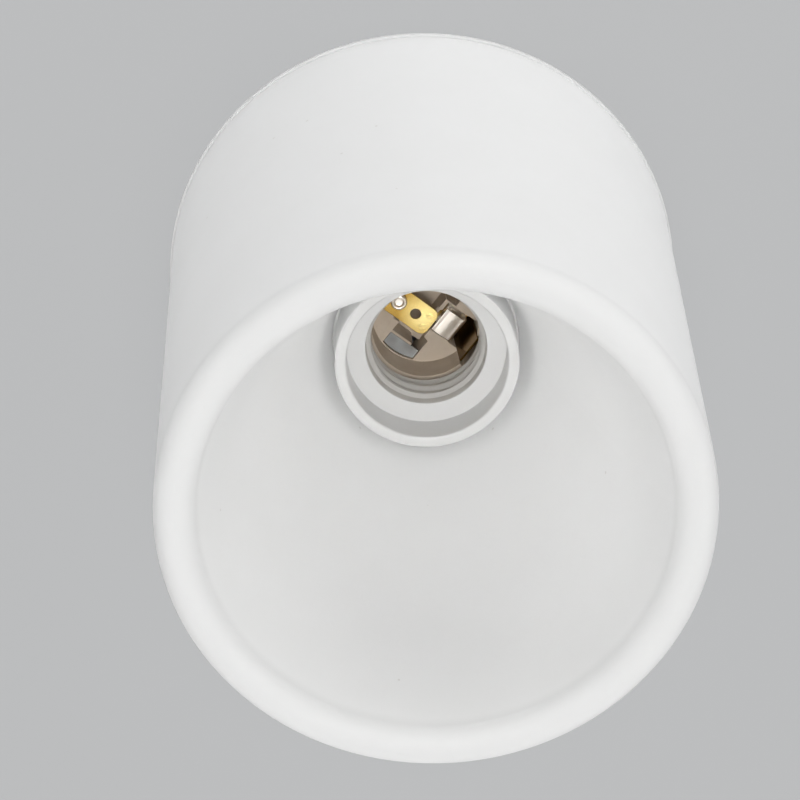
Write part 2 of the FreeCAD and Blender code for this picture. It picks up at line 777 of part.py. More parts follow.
for number, angle in enumerate(tab_angles, start=1):
    nut = revolved(f"nut_{number}", [
        (tab_back, screw_bore),
        (tab_back, nut_radius),
        (tab_back - nut_length, nut_radius),
        (tab_back - nut_length, screw_bore),
    ], "H_Axis")
    node(f"clinch_nut_{number}", about_z(nut, angle, shade_screw_height))


# Screws: a bevelled head with a driver slot, and a plain shank

def shade_screw(name, angle):
    """A screw that points inwards through the shade wall, its head seated in the counterbore."""
    head_end = head_seat + screw_head_height
    shank_end = head_seat - shade_screw_length
    body = revolved(f"{name}_body", [
        (shank_end, 0),
        (shank_end, screw_radius - head_bevel),
        (shank_end + head_bevel, screw_radius),
        (head_seat, screw_radius),
        (head_seat, screw_head_radius),
        (head_end - head_bevel, screw_head_radius),
        (head_end, screw_head_radius - head_bevel),
        (head_end, 0),
    ], "H_Axis")
    driver_slot(body, [
        (head_end - driver_slot_depth, -screw_head_radius),
        (head_end, -screw_head_radius),
        (head_end, screw_head_radius),
        (head_end - driver_slot_depth, screw_head_radius),
    ])
    node(name, about_z(body, angle, shade_screw_height))


def upright_screw(name, x, y, seat, side, shank, length, head, height):
    """An upright screw seated at a height, its head above the seat for side 1 and below it for side -1."""
    head_end = as_size(side) * height
    head_corner = as_size(side) * (height - head_bevel)
    shank_end = as_size(-side) * length
    shank_corner = as_size(-side) * (length - head_bevel)
    slot_floor = as_size(side) * (height - driver_slot_depth)
    body = revolved(f"{name}_body", [
        (0, shank_end),
        (shank - head_bevel, shank_end),
        (shank, shank_corner),
        (shank, 0),
        (head, 0),
        (head, head_corner),
        (head - head_bevel, head_end),
        (0, head_end),
    ])
    driver_slot(body, [(-head, slot_floor), (head, slot_floor), (head, head_end), (-head, head_end)])
    node(name, place(body, x, y, seat))


for number, angle in enumerate(tab_angles, start=1):
    shade_screw(f"shade_screw_{number}", angle)
for number, side in ((1, -1), (2, 1)):
    x, y = socket_spot(as_size(0), holder_screw_offset * side)
    upright_screw(
        f"holder_screw_{number}", x, y, plate_back, 1,
        screw_radius, holder_screw_length, screw_head_radius, screw_head_height,
    )
upright_screw(
    "earth_screw", 0, -earth_offset, plate_front - washer_thickness, -1,
    screw_radius, earth_screw_length, screw_head_radius, screw_head_height,
)
washer = revolved("washer_ring", [
    (screw_bore, -washer_thickness),
    (washer_radius, -washer_thickness),
    (washer_radius, 0),
    (screw_bore, 0),
])
node("earth_washer", place(washer, 0, -earth_offset, plate_front))


# Cable grommet, its groove round the edge of the plate's entry hole

lip_radius = entry_radius + grommet_lip
groove_radius = entry_radius - seat_gap
grommet_top = plate_back + grommet_lip_height
grommet_low = plate_front - grommet_lip_height
grommet = revolved("grommet_ring", [
    (grommet_bore, grommet_low),
    (lip_radius - grommet_bevel, grommet_low),
    (lip_radius, grommet_low + grommet_bevel),
    (lip_radius, plate_front),
    (groove_radius, plate_front),
    (groove_radius, plate_back),
    (lip_radius, plate_back),
    (lip_radius, grommet_top - grommet_bevel),
    (lip_radius - grommet_bevel, grommet_top),
    (grommet_bore, grommet_top),
])
node("cable_grommet", place(grommet, 0, entry_offset, 0))


# Lamp holder shell: collar, ring face, socket barrel and skirt

collar_front = -collar_depth
collar_bore = shell_radius - collar_wall
face_front = -face_depth
face_back = face_front + face_thickness
socket_end = -socket_end_depth
cup_outer = cup_radius + cup_wall
barrel_bore = cup_outer + seat_gap
barrel_outer = barrel_bore + barrel_wall
shell = revolved("shell_moulding", [
    (collar_bore, collar_front),
    (collar_bore, face_front),
    (socket_mouth_radius, face_front),
    (socket_radius, face_front + socket_mouth_bevel),
    (socket_radius, socket_end),
    (barrel_bore, socket_end),
    (barrel_bore, flange_front),
    (barrel_outer, flange_front),
    (barrel_outer, face_back),
    (skirt_bore, face_back),
    (skirt_bore, cap_joint),
    (shell_radius, cap_joint),
    (shell_radius, collar_front),
])
collar_lips = [(collar_bore, collar_front), (shell_radius, collar_front), (collar_bore, face_front)]
rounded(shell, "collar_lips", ring_edges(shell, collar_lips), collar_edge)
node("holder_shell", shell)


# Holder cap: closes the shell from behind and takes the two screws from the plate

cap_bore = cap_spigot - cap_wall
cap_outer = shell_radius - cap_step
cap = revolved("cap_moulding", [
    (cap_bore, flange_back),
    (cap_spigot, flange_back),
    (cap_spigot, cap_joint),
    (cap_outer, cap_joint),
    (cap_outer, plate_front),
    (0, plate_front),
    (0, cap_inside),
    (cap_bore, cap_inside),
])
rounded(cap, "cap_corner", ring_edges(cap, [(cap_outer, plate_front)]), cap_edge)
cap_pieces = [cap]
cap_tools = []
pilot_end = plate_back - holder_screw_length - OVERSHOOT
notch_half = wire_notch_width / 2
for number, side in ((1, -1), (2, 1)):
    y = holder_screw_offset * side
    cap_pieces.append(rod(
        f"boss_{number}", boss_radius, 0, y, cap_inside - boss_length, cap_inside + cap_end_wall / 2
    ))
    cap_tools.append(rod(f"pilot_{number}", screw_bore, 0, y, pilot_end, plate_front + OVERSHOOT))
notch_low = wire_level - wire_notch_height / 2
notch_high = wire_level + wire_notch_height / 2
cap_tools.append(box(
    "wire_notch_1",
    (-(cap_outer + OVERSHOOT), -notch_half, notch_low), (-(cap_bore - OVERSHOOT), notch_half, notch_high),
))
cap_tools.append(box(
    "wire_notch_2",
    (cap_bore - OVERSHOOT, -notch_half, notch_low), (cap_outer + OVERSHOOT, notch_half, notch_high),
))
cap_body = cut("cap_body", joined("cap_blank", cap_pieces), cap_tools)
node("holder_cap", about_z(cap_body, contact_turn))


# Contact block: cup, platform and flange, with the recesses that the two contacts sit in

cup_rim = socket_end + seat_gap
block = revolved("block_moulding", [
    (cup_radius, cup_rim),
    (cup_outer, cup_rim),
    (cup_outer, flange_front),
    (cap_spigot - seat_gap, flange_front),
    (cap_spigot - seat_gap, flange_back),
    (cup_outer, flange_back),
    (cup_outer, block_back),
    (0, block_back),
    (0, platform),
    (cup_radius, platform),
])
channel_floor = platform + channel_depth
below_platform = platform - OVERSHOOT
channel_side = channel_step - channel_left
channel_wide = channel_right + channel_flare
channel = prism("channel", [
    (-channel_left, -channel_near),
    (channel_wide, -channel_near),
    (channel_wide, -channel_neck),
    (channel_right, -channel_neck),
    (channel_right, channel_shoulder - shoulder_slope),
    (channel_wide, channel_shoulder),
    (channel_wide, channel_far),
    (channel_side, channel_far),
    (channel_side, channel_shoulder),
    (-channel_left, channel_shoulder),
], below_platform, channel_floor)
tip_half = leaf_width / 2 + tip_recess_margin
tip_recess = box(
    "tip_recess",
    (channel_right - OVERSHOOT, leaf_offset - tip_half, below_platform),
    (tip_recess_end, leaf_offset + tip_half, platform + tip_recess_depth),
)
window_edge = channel_far + fin_thickness
window_block = box(
    "window_block",
    (channel_side, window_edge, below_platform),
    (channel_wide, cup_radius, block_back + OVERSHOOT),
)
window_round = rod(
    "window_round", cup_radius - seat_gap, 0, 0, below_platform, block_back + OVERSHOOT
)
window = common("window", window_block, window_round)
fin_gap = box(
    "fin_gap",
    (fin_end, channel_far - OVERSHOOT, below_platform),
    (channel_wide, window_edge + OVERSHOOT, channel_floor),
)
pocket_half = strip_width / 2 + pocket_clearance
pocket = box(
    "side_pocket",
    (pocket_start, -(side_offset + pocket_half), below_platform),
    (pocket_end, pocket_half - side_offset, pocket_floor),
)
slot_half = strip_width / 2 + tongue_slot_clearance
tongue_slot = box(
    "tongue_slot",
    (pocket_end - OVERSHOOT, -(side_offset + slot_half), cup_rim - OVERSHOOT),
    (tongue_slot_end, slot_half - side_offset, pocket_floor),
)
rivet_bore = rivet_shank_radius + rivet_clearance
centre_rivet_across = leaf_offset + centre_rivet_shift
centre_rivet_hole = rod(
    "centre_rivet_hole", rivet_bore, -centre_rivet_place, centre_rivet_across,
    below_platform, block_back + OVERSHOOT,
)
side_rivet_hole = rod(
    "side_rivet_hole", rivet_bore, side_rivet_place, -side_offset,
    below_platform, block_back + OVERSHOOT,
)
block_body = cut("block_body", block, [
    channel, tip_recess, window, fin_gap, pocket, tongue_slot, centre_rivet_hole, side_rivet_hole,
])
node("contact_block", about_z(block_body, contact_turn))


# Window tab: a steel plate that fills the window and a leg down to the block's back

tab_front = platform + tab_plate_depth
tab_back_face = tab_front + tab_plate_thickness
tab_near = window_edge + tab_gap
tab_side = channel_side + tab_gap
tab_block = box(
    "tab_block",
    (tab_side, tab_near, tab_front), (channel_wide - tab_gap, cup_radius, tab_back_face),
)
tab_round = rod(
    "tab_round", cup_radius - seat_gap - tab_gap, 0, 0, tab_front - OVERSHOOT, tab_back_face + OVERSHOOT
)
tab_plate = common("tab_plate", tab_block, tab_round)
tab_leg = box(
    "tab_leg",
    (tab_side, tab_near, tab_back_face - tab_plate_thickness / 2),
    (tab_side + tab_leg_width, tab_near + tab_plate_thickness, block_back),
)
node("window_tab", about_z(joined("window_tab_body", [tab_plate, tab_leg]), contact_turn))


# Centre contact: forked flat root under its rivet, then a slight rise to the rounded tip

root_back = platform - seat_gap
root_front = root_back - leaf_thickness
above_leaf = root_back + OVERSHOOT
below_leaf = root_front - leaf_rise - OVERSHOOT
leaf_near = leaf_offset - leaf_width / 2
leaf_far = leaf_offset + leaf_width / 2
leaf_bends = strip("leaf_bends", [
    (-leaf_root, root_front),
    (-leaf_bend, root_front),
    (leaf_tip, root_front - leaf_rise),
    (leaf_tip, root_back - leaf_rise),
    (-leaf_bend, root_back),
    (-leaf_root, root_back),
], leaf_width, leaf_offset)
leaf_plan = prism("leaf_plan", [
    (-leaf_root, leaf_near),
    (leaf_tip, leaf_near),
    (leaf_tip, leaf_far),
    (-leaf_root, leaf_far),
], below_leaf, above_leaf)
plan_middle = (below_leaf + above_leaf) / 2
tip_corners = [(leaf_tip, leaf_near, plan_middle), (leaf_tip, leaf_far, plan_middle)]
rounded(leaf_plan, "leaf_corners", edges_at(leaf_plan, tip_corners), leaf_corner)
leaf = common("leaf_blank", leaf_bends, leaf_plan)
leaf_hole = rod("leaf_hole", leaf_hole_radius, -leaf_hole_place, leaf_offset, below_leaf, above_leaf)
fork_end = rod(
    "fork_end", rivet_bore, -centre_rivet_place, centre_rivet_across, below_leaf, above_leaf
)
fork_slot = box(
    "fork_slot",
    (-(leaf_root + OVERSHOOT), centre_rivet_across - rivet_bore, below_leaf),
    (-centre_rivet_place, centre_rivet_across + rivet_bore, above_leaf),
)
leaf_body = cut("leaf_body", leaf, [leaf_hole, fork_end, fork_slot])
node("centre_contact", about_z(leaf_body, contact_turn))


# Side contact: riveted foot in the pocket and a tongue that leans out to the socket wall

foot_back = pocket_floor - seat_gap
foot_front = foot_back - strip_thickness
tongue_top = foot_back - tongue_height
side_strip = strip("side_strip", [
    (strip_start, foot_front),
    (tongue_foot - strip_thickness, foot_front),
    (tongue_foot + tongue_lean - strip_thickness, tongue_top),
    (tongue_foot + tongue_lean, tongue_top),
    (tongue_foot, foot_back),
    (strip_start, foot_back),
], strip_width, -side_offset)
side_hole = rod(
    "side_hole", rivet_bore, side_rivet_place, -side_offset, foot_front - OVERSHOOT, foot_back + OVERSHOOT
)
node("side_contact", about_z(cut("side_body", side_strip, [side_hole]), contact_turn))


# Side spring: flange on the foot, riser, and a crested leaf beside the centre contact

spring_front = foot_front - spring_thickness
spring_top = foot_front - spring_height
riser_inner = spring_riser - spring_thickness
spring_strip = strip("spring_strip", [
    (spring_start, foot_front),
    (spring_riser, foot_front),
    (spring_riser, spring_top),
    (spring_crest_place, spring_top - spring_crest),
    (spring_lip_place, spring_top - spring_lip),
    (spring_lip_place, spring_top - spring_lip + spring_thickness),
    (spring_crest_place, spring_top - spring_crest + spring_thickness),
    (riser_inner, spring_top + spring_thickness),
    (riser_inner, spring_front),
    (spring_start, spring_front),
], spring_width, -side_offset)
flange_hole = rod(
    "flange_hole", rivet_bore, side_rivet_place, -side_offset,
    spring_front - OVERSHOOT, foot_front + strip_thickness,
)
node("side_spring", about_z(cut("spring_body", spring_strip, [flange_hole]), contact_turn))


# Rivets: head a seat gap in front of what it holds, shank through the block into the clamp behind

def rivet(name, along, across, held_front):
    seat = held_front - seat_gap
    top = seat - rivet_head_height
    body = revolved(f"{name}_body", [
        (0, top),
        (rivet_head_radius - rivet_head_bevel, top),
        (rivet_head_radius, top + rivet_head_bevel),
        (rivet_head_radius, seat),
        (rivet_shank_radius, seat),
        (rivet_shank_radius, rivet_end),
        (0, rivet_end),
    ])
    x, y = socket_spot(along, across)
    node(name, place(body, x, y, 0))


rivet("centre_rivet", -centre_rivet_place, centre_rivet_across, root_front)
rivet("side_rivet", side_rivet_place, -side_offset, spring_front)


# Terminals: a drilled brass clamp and its screw behind each contact

def terminal(number, low, high, screw_along, across, rivet_along, rivet_across):
    """A clamp on the block's back between two places along the socket's turned axis."""
    blank = box(
        f"clamp_blank_{number}",
        (low, across - clamp_width / 2, block_back),
        (high, across + clamp_width / 2, clamp_top),
    )
    wire_hole = rod_along_x(
        f"wire_hole_{number}", wire_radius, low - OVERSHOOT, high + OVERSHOOT, across, wire_level
    )
    screw_hole = rod(
        f"clamp_screw_hole_{number}", terminal_screw_radius + screw_clearance,
        screw_along, across, wire_level, clamp_top + OVERSHOOT,
    )
    rivet_hole = rod(
        f"clamp_rivet_hole_{number}", rivet_bore, rivet_along, rivet_across,
        block_back - OVERSHOOT, rivet_end + rivet_clearance,
    )
    clamp = cut(f"clamp_{number}", blank, [wire_hole, screw_hole, rivet_hole])
    node(f"terminal_clamp_{number}", about_z(clamp, contact_turn))
    x, y = socket_spot(screw_along, across)
    upright_screw(
        f"terminal_screw_{number}", x, y, clamp_top, 1,
        terminal_screw_radius, terminal_screw_length, terminal_head_radius, terminal_head_height,
    )


clamp_end = clamp_start + clamp_length
terminal(
    1, -clamp_end, -clamp_start, -terminal_screw_place, leaf_offset,
    -centre_rivet_place, centre_rivet_across,
)
terminal(
    2, clamp_start, clamp_end, terminal_screw_place, -side_offset,
    side_rivet_place, -side_offset,
)


# Checks, then one STEP file per sub-part

doc.recompute()
for thing in doc.Objects:
    for word in ("Invalid", "Error"):
        if word in thing.State:
            raise RuntimeError(f"{thing.Name} is {word}")
for name, thing in nodes.items():
    if thing.Shape.isNull() or not thing.Shape.isValid():
        raise RuntimeError(f"{name} has no valid shape")
    if len(thing.Shape.Solids) != 1:
        raise RuntimeError(f"{name} has {len(thing.Shape.Solids)} solids")

os.makedirs("parts", exist_ok=True)
for name, thing in nodes.items():
    thing.Shape.exportStep(f"parts/{name}.step")
print(f"wrote {len(nodes)} sub-parts")
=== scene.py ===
# %% [markdown]
# # A ceiling lamp fitting, dressed for its photograph
#
# The solids of this fitting come from a CAD model: a white cast shade with a cone inside, and a screw lamp
# holder at the cone's end. They are the fixed frame. This lesson keeps the solids whose shape is already
# right, builds the lamp thread and the contacts afresh as finer meshes, and gives each piece a finish.

# %% Load the frame and note its size
import json
import math

import bmesh
import bpy
import numpy as np
from mathutils import Matrix, Vector


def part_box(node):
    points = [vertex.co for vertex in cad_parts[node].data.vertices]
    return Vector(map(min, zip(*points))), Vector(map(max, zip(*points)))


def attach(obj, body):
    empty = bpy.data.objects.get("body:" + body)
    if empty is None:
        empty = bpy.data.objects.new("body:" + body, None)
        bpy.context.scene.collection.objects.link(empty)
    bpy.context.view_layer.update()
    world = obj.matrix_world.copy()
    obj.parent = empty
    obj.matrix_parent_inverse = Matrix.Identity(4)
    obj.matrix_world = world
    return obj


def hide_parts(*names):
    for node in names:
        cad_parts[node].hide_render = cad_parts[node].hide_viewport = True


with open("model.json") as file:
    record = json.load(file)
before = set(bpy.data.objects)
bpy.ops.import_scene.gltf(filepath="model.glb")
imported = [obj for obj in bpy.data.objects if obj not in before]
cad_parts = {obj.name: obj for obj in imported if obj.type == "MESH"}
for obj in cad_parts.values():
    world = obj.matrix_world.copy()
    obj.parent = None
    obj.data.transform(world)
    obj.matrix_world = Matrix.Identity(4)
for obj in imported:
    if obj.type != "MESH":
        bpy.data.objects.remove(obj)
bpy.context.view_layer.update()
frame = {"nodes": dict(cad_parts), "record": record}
nodes = frame["nodes"]
MM = 0.001
SHARP_EDGE = math.radians(35)       # faces that meet at more than this keep a crisp line

# %% [markdown]
# ## From an outline to a surface
#
# Turned and moulded pieces are a closed outline carried round an axis. Blender's Screw modifier could carry
# it, but it can't give a wall a thread that fades at both ends. So each surface is a grid of points, whose
# rows run along the outline and whose columns run round the axis. Working on whole arrays keeps this quick:
# no loop ever runs over the vertices. The outline is drawn with sharp corners first, and each corner then
# gets its own round, as the real moulds have.

# %% Outline with rounded corners
def rounded_outline(corners, steps=5):
    """Corners are (radius, height, round) in mm. Each corner becomes an arc that touches both its edges:
    the arc's ends lie round / tan(half the corner's angle) away from the corner, along the two edges."""
    spots = np.array([corner[:2] for corner in corners], float)
    rounds = np.array([corner[2] for corner in corners], float)
    before = np.roll(spots, 1, axis=0) - spots
    after = np.roll(spots, -1, axis=0) - spots
    before /= np.linalg.norm(before, axis=1, keepdims=True)
    after /= np.linalg.norm(after, axis=1, keepdims=True)
    half = np.arccos(np.clip((before * after).sum(1), -1, 1)) / 2
    reach = rounds / np.tan(half)
    middle = before + after
    middle /= np.linalg.norm(middle, axis=1, keepdims=True)
    centre = spots + middle * (rounds / np.sin(half))[:, None]
    start = spots + before * reach[:, None] - centre
    end = spots + after * reach[:, None] - centre
    share = np.linspace(0, 1, steps + 1)[None, :, None]
    swing = (np.pi - 2 * half)[:, None, None]
    safe = np.where(rounds > 0, np.sin(swing[:, 0, 0]), 1)[:, None, None]
    arc = (np.sin((1 - share) * swing) * start[:, None] + np.sin(share * swing) * end[:, None]) / safe
    points = centre[:, None] + arc
    return [tuple(point) for row, size in zip(points, rounds) for point in (row if size > 0 else row[:1])]


test_square = [(2, 0, 0.3), (4, 0, 0.3), (4, 2, 0.3), (2, 2, 0.3)]
print("a test square with rounds has", len(rounded_outline(test_square)), "points")

# %% Grid of points to a mesh object
DOUBLES_REACH = 1e-7        # in metres, closer points of a grid are one


def piece_from_grid(name, grid, close_rows, close_columns):
    """A grid of points, rows by columns by 3 in mm, becomes one mesh of four-sided faces. Rows run along
    the outline and columns round the axis; each may close on itself."""
    rows, columns = grid.shape[:2]
    index = np.arange(rows * columns).reshape(rows, columns)
    if close_rows:
        index = np.concatenate([index, index[:1]], axis=0)
    if close_columns:
        index = np.concatenate([index, index[:, :1]], axis=1)
    corners = [index[:-1, :-1], index[:-1, 1:], index[1:, 1:], index[1:, :-1]]
    faces = np.stack(corners, axis=-1).reshape(-1, 4)
    mesh = bpy.data.meshes.new(name)
    mesh.from_pydata((grid.reshape(-1, 3) * MM).tolist(), [], faces.tolist())
    mesh.update()
    piece = bpy.data.objects.new(name, mesh)
    bpy.context.scene.collection.objects.link(piece)
    mesh.polygons.foreach_set("use_smooth", np.ones(len(faces), bool))
    return piece


def face_outwards(piece):
    """Turns every face of a closed mesh outwards."""
    shell = bmesh.new()
    shell.from_mesh(piece.data)
    bmesh.ops.remove_doubles(shell, verts=shell.verts, dist=DOUBLES_REACH)
    bmesh.ops.recalc_face_normals(shell, faces=shell.faces)
    shell.to_mesh(piece.data)
    shell.free()
    print(piece.name, "faces:", len(piece.data.polygons))
    return piece


# %% [markdown]
# ## The lamp holder's shell, with its thread
#
# A lamp screws into a rounded thread that is moulded in the socket's wall, with a pitch of 3.6 mm. It could
# be a helix cut from the wall, but a cut leaves ragged ends. Here it is a wave that climbs as it goes
# round: the wall's radius is the valley's radius less a raised cosine of the height over the pitch minus
# the turns. The wave fades near both ends, as it does where a mould core is drawn. Everything else of the
# shell is a plain outline carried round, with a small bead that closes the slit between the collar and the
# shade's cone.

# %% Shell of the lamp holder
THREAD_PITCH = 3.629
THREAD_DEPTH = 0.85
THREAD_START = 0.2       # in turns, where the thread begins round the socket
CREST_WIDTH = 0.7        # a power below 1 makes the crests broader than the valleys
VALLEY_RADIUS, LEAD_RADIUS, SOCKET_RADIUS = 13.45, 12.95, 13.3
LEAD_IN, SOCKET_END = -43.7, -35.0
LEAD_FALL = 1.1          # height over which the lead-in ring opens to the valley
FADE_IN_AFTER, FADE_IN = 0.5, 1.4
FADE_OUT_BEFORE, FADE_OUT = 0.3, 1.2
END_STEP = 0.6           # height over which the last valley narrows to the plain bore
WALL_ROWS = 90
SHELL_COLUMNS = 256


def smooth_step(x):
    """0 below 0, 1 above 1, and 3 x squared less 2 x cubed between them."""
    x = np.clip(x, 0, 1)
    return x * x * (3 - 2 * x)


def thread_radius(height, angle):
    """Valley radius less a lead-in ring, less a last step to the bore, and less depth times the wave
    ((1 + cos(2 pi (height / pitch - turns))) / 2) to the power of the crest's width. The wave fades in
    behind the ring and out before the bore, each time as a smooth step."""
    ring = (VALLEY_RADIUS - LEAD_RADIUS) * (1 - smooth_step((height - LEAD_IN) / LEAD_FALL))
    fade_in = smooth_step((height - LEAD_IN - FADE_IN_AFTER) / FADE_IN)
    fade_out = smooth_step((SOCKET_END - FADE_OUT_BEFORE - height) / FADE_OUT)
    turns = height / THREAD_PITCH - angle / (2 * np.pi) + THREAD_START
    wave = ((1 + np.cos(2 * np.pi * turns)) / 2) ** CREST_WIDTH
    end = (VALLEY_RADIUS - SOCKET_RADIUS) * smooth_step((height - SOCKET_END + END_STEP) / END_STEP)
    return VALLEY_RADIUS - ring - THREAD_DEPTH * fade_in * fade_out * wave - end


COLLAR_INNER, COLLAR_OUTER = 18.6, 21.2
COLLAR_FRONT, RING_FACE, SHELL_REAR = -56.0, -47.0, -14.0
MOUTH_OUTER, MOUTH_INNER, MOUTH_DEPTH = 14.1, 13.8, 2.35
SOCKET_WALL, SOCKET_REAR = (15.1, 17.0), -22.0
SKIRT_INNER, SKIRT_FLOOR = 19.2, -44.8
BEAD_RADIUS = 21.66
BEAD_ENDS, BEAD_FLAT = (-41.2, -42.9), (-41.6, -42.5)
SHELL_CORNERS = [
    (COLLAR_INNER, COLLAR_FRONT, 0.5), (COLLAR_INNER, RING_FACE, 0.18),
    (MOUTH_OUTER, RING_FACE, 0.2), (MOUTH_INNER, RING_FACE + MOUTH_DEPTH, 0.1), (LEAD_RADIUS, LEAD_IN, 0),
    (SOCKET_RADIUS, SOCKET_END, 0), (SOCKET_WALL[0], SOCKET_END, 0.2), (SOCKET_WALL[0], SOCKET_REAR, 0.2),
    (SOCKET_WALL[1], SOCKET_REAR, 0.2), (SOCKET_WALL[1], SKIRT_FLOOR, 0.3),
    (SKIRT_INNER, SKIRT_FLOOR, 0.3), (SKIRT_INNER, SHELL_REAR, 0.25), (COLLAR_OUTER, SHELL_REAR, 0.25),
    (COLLAR_OUTER, BEAD_ENDS[0], 0), (BEAD_RADIUS, BEAD_FLAT[0], 0.1), (BEAD_RADIUS, BEAD_FLAT[1], 0.15),
    (COLLAR_OUTER, BEAD_ENDS[1], 0), (COLLAR_OUTER, COLLAR_FRONT, 0.5),
]
outline = np.array(rounded_outline(SHELL_CORNERS))
lead_row = int(np.argmin(np.abs(outline - (LEAD_RADIUS, LEAD_IN)).sum(1)))
plain_line = np.roll(outline, -lead_row, axis=0)[2:]       # all but the threaded wall's two ends
angle = np.linspace(0, 2 * np.pi, SHELL_COLUMNS, endpoint=False)[None, :]
wall_height = np.linspace(LEAD_IN, SOCKET_END, WALL_ROWS)[:, None] + 0 * angle
radius = np.concatenate([thread_radius(wall_height, angle), plain_line[:, :1] + 0 * angle])
height = np.concatenate([wall_height, plain_line[:, 1:] + 0 * angle])
shell_grid = np.stack([radius * np.cos(angle), radius * np.sin(angle), height], axis=-1)
shell = face_outwards(piece_from_grid("lamp_holder_shell", shell_grid, True, True))
shell.data.set_sharp_from_angle(angle=SHARP_EDGE)
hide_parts("holder_shell")
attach(shell, "fixture")
print("thread turns:", round((SOCKET_END - LEAD_IN) / THREAD_PITCH, 1))

# %% [markdown]
# ## Softened edges on the small parts
#
# CAD solids have edges like razors, and light never glints along them. Mouldings and sheet metal have small
# rounds. They could be modelled anew, but the solids' shapes are right. So each small solid is copied, its
# loose triangles are merged into clean flats, and a narrow bevel goes round its sharp edges. The CAD solid
# itself stays untouched and hidden.

# %% Softened copies of the small solids
MERGE_REACH = 2e-6                  # in metres, closer corners are one
FLAT_WITHIN = math.radians(1)       # triangles that lie this flat are one face
BEVEL_FROM = math.radians(30)


def softened(node, name, width, body, slot, segments=2):
    """A merged copy of a CAD solid, with a bevel of that width in mm on every sharp edge."""
    work = bmesh.new()
    work.from_mesh(nodes[node].data)
    bmesh.ops.remove_doubles(work, verts=work.verts, dist=MERGE_REACH)
    bmesh.ops.dissolve_limit(work, angle_limit=FLAT_WITHIN, verts=work.verts, edges=work.edges)
    mesh = bpy.data.meshes.new(name)
    work.to_mesh(mesh)
    work.free()
    piece = bpy.data.objects.new(name, mesh)
    bpy.context.scene.collection.objects.link(piece)
    bevel = piece.modifiers.new("edges", "BEVEL")
    bevel.width = width * MM
    bevel.segments = segments
    bevel.limit_method = "ANGLE"
    bevel.angle_limit = BEVEL_FROM
    bevel.use_clamp_overlap = True
    mesh.shade_smooth()
    mesh.set_sharp_from_angle(angle=SHARP_EDGE)
    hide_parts(node)
    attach(piece, body)
    return piece


# CAD solid, name of its copy, bevel in mm, body that it moves with, finish
SOFT_PIECES = [
    ("contact_block", "insulating_block", 0.22, "fixture", "beige_moulding"),
    ("centre_contact", "centre_leaf", 0.1, "centre_contact", "brass"),
    ("side_contact", "side_strip", 0.1, "side_contact", "brass"),
    ("side_spring", "side_leaf", 0.08, "side_contact", "nickel"),
]
soft = {row[0]: softened(*row) for row in SOFT_PIECES}
print("softened pieces:", ", ".join(piece.name for piece in soft.values()))

# %% [markdown]
# ## The side leaf's sweep
#
# The nickel leaf beside the centre contact is one strip bent over a form. Its solid has straight runs
# between its bends. The copy is cut into narrow bands across the leaf, and every band is lifted to a smooth
# line, so that its reflection runs on as it does on bent sheet. A new mesh would have to repeat the riser
# and foot.

# %% A smooth sweep for the side leaf
SOCKET_TURN = math.radians(37)      # the contacts lie along a line turned this much from +X
ALONG = Vector((math.cos(SOCKET_TURN), math.sin(SOCKET_TURN), 0))
ACROSS = Vector((-math.sin(SOCKET_TURN), math.cos(SOCKET_TURN), 0))
# the solid's straight runs, each corner as its place along that line and its height
LEAF_LIP, LEAF_CREST, LEAF_RISER = (3.4, -27.12), (5.6, -27.92), (9.0, -26.82)
LEAF_CUTS = 28
LEAF_FRONT = -25.9                  # what lies lower than this belongs to the leaf's front
LIP_HEIGHT, LIP_CURL, LIP_LENGTH = -27.35, 0.35, 0.9
FALL_START, FALL_LENGTH, FALL_DEPTH = 5.5, 2.5, 0.25
SHOULDER_START = 8.0                # a quarter circle of 1 mm leads from here into the riser


def leaf_sweep(along):
    """Height of the real leaf: its lip's height less a smooth step for the curl, plus a smooth step for the
    long fall back, plus the shoulder's quarter circle, 1 less the root of 1 less the distance squared."""
    curl = LIP_CURL * smooth_step((along - LEAF_LIP[0]) / LIP_LENGTH)
    fall = FALL_DEPTH * smooth_step((along - FALL_START) / FALL_LENGTH)
    shoulder = 1 - np.sqrt(1 - np.clip(along - SHOULDER_START, 0, 1) ** 2)
    return LIP_HEIGHT - curl + fall + shoulder


side_leaf = bmesh.new()
side_leaf.from_mesh(soft["side_spring"].data)
for cut_place in np.linspace(LEAF_LIP[0], LEAF_RISER[0], LEAF_CUTS + 2)[1:-1]:
    everything = side_leaf.verts[:] + side_leaf.edges[:] + side_leaf.faces[:]
    bmesh.ops.bisect_plane(side_leaf, geom=everything, plane_co=ALONG * cut_place * MM, plane_no=ALONG)
side_leaf.to_mesh(soft["side_spring"].data)
side_leaf.free()
mesh = soft["side_spring"].data
spots = np.empty(len(mesh.vertices) * 3)
mesh.vertices.foreach_get("co", spots)
spots = spots.reshape(-1, 3)
along = spots @ np.array(ALONG) / MM
straight = np.interp(along, *zip(LEAF_LIP, LEAF_CREST, LEAF_RISER))
on_leaf = spots[:, 2] / MM < LEAF_FRONT
spots[on_leaf, 2] += ((leaf_sweep(along) - straight) * MM)[on_leaf]
mesh.vertices.foreach_set("co", spots.ravel())
mesh.update()
mesh.set_sharp_from_angle(angle=SHARP_EDGE)
print("side leaf vertices:", len(mesh.vertices), "front at", round(spots[:, 2].min() / MM, 2), "mm")

# %% [markdown]
# ## Two pips on the centre contact
#
# The leaf has two small raised pips that were coined into it from behind. They could be sculpted in the
# leaf, but a cap of its own is simpler and keeps the flat flat. A pip's height falls off as a cosine from
# the middle to its rim. Each one is laid on the leaf's own slope, with its root inside the sheet.

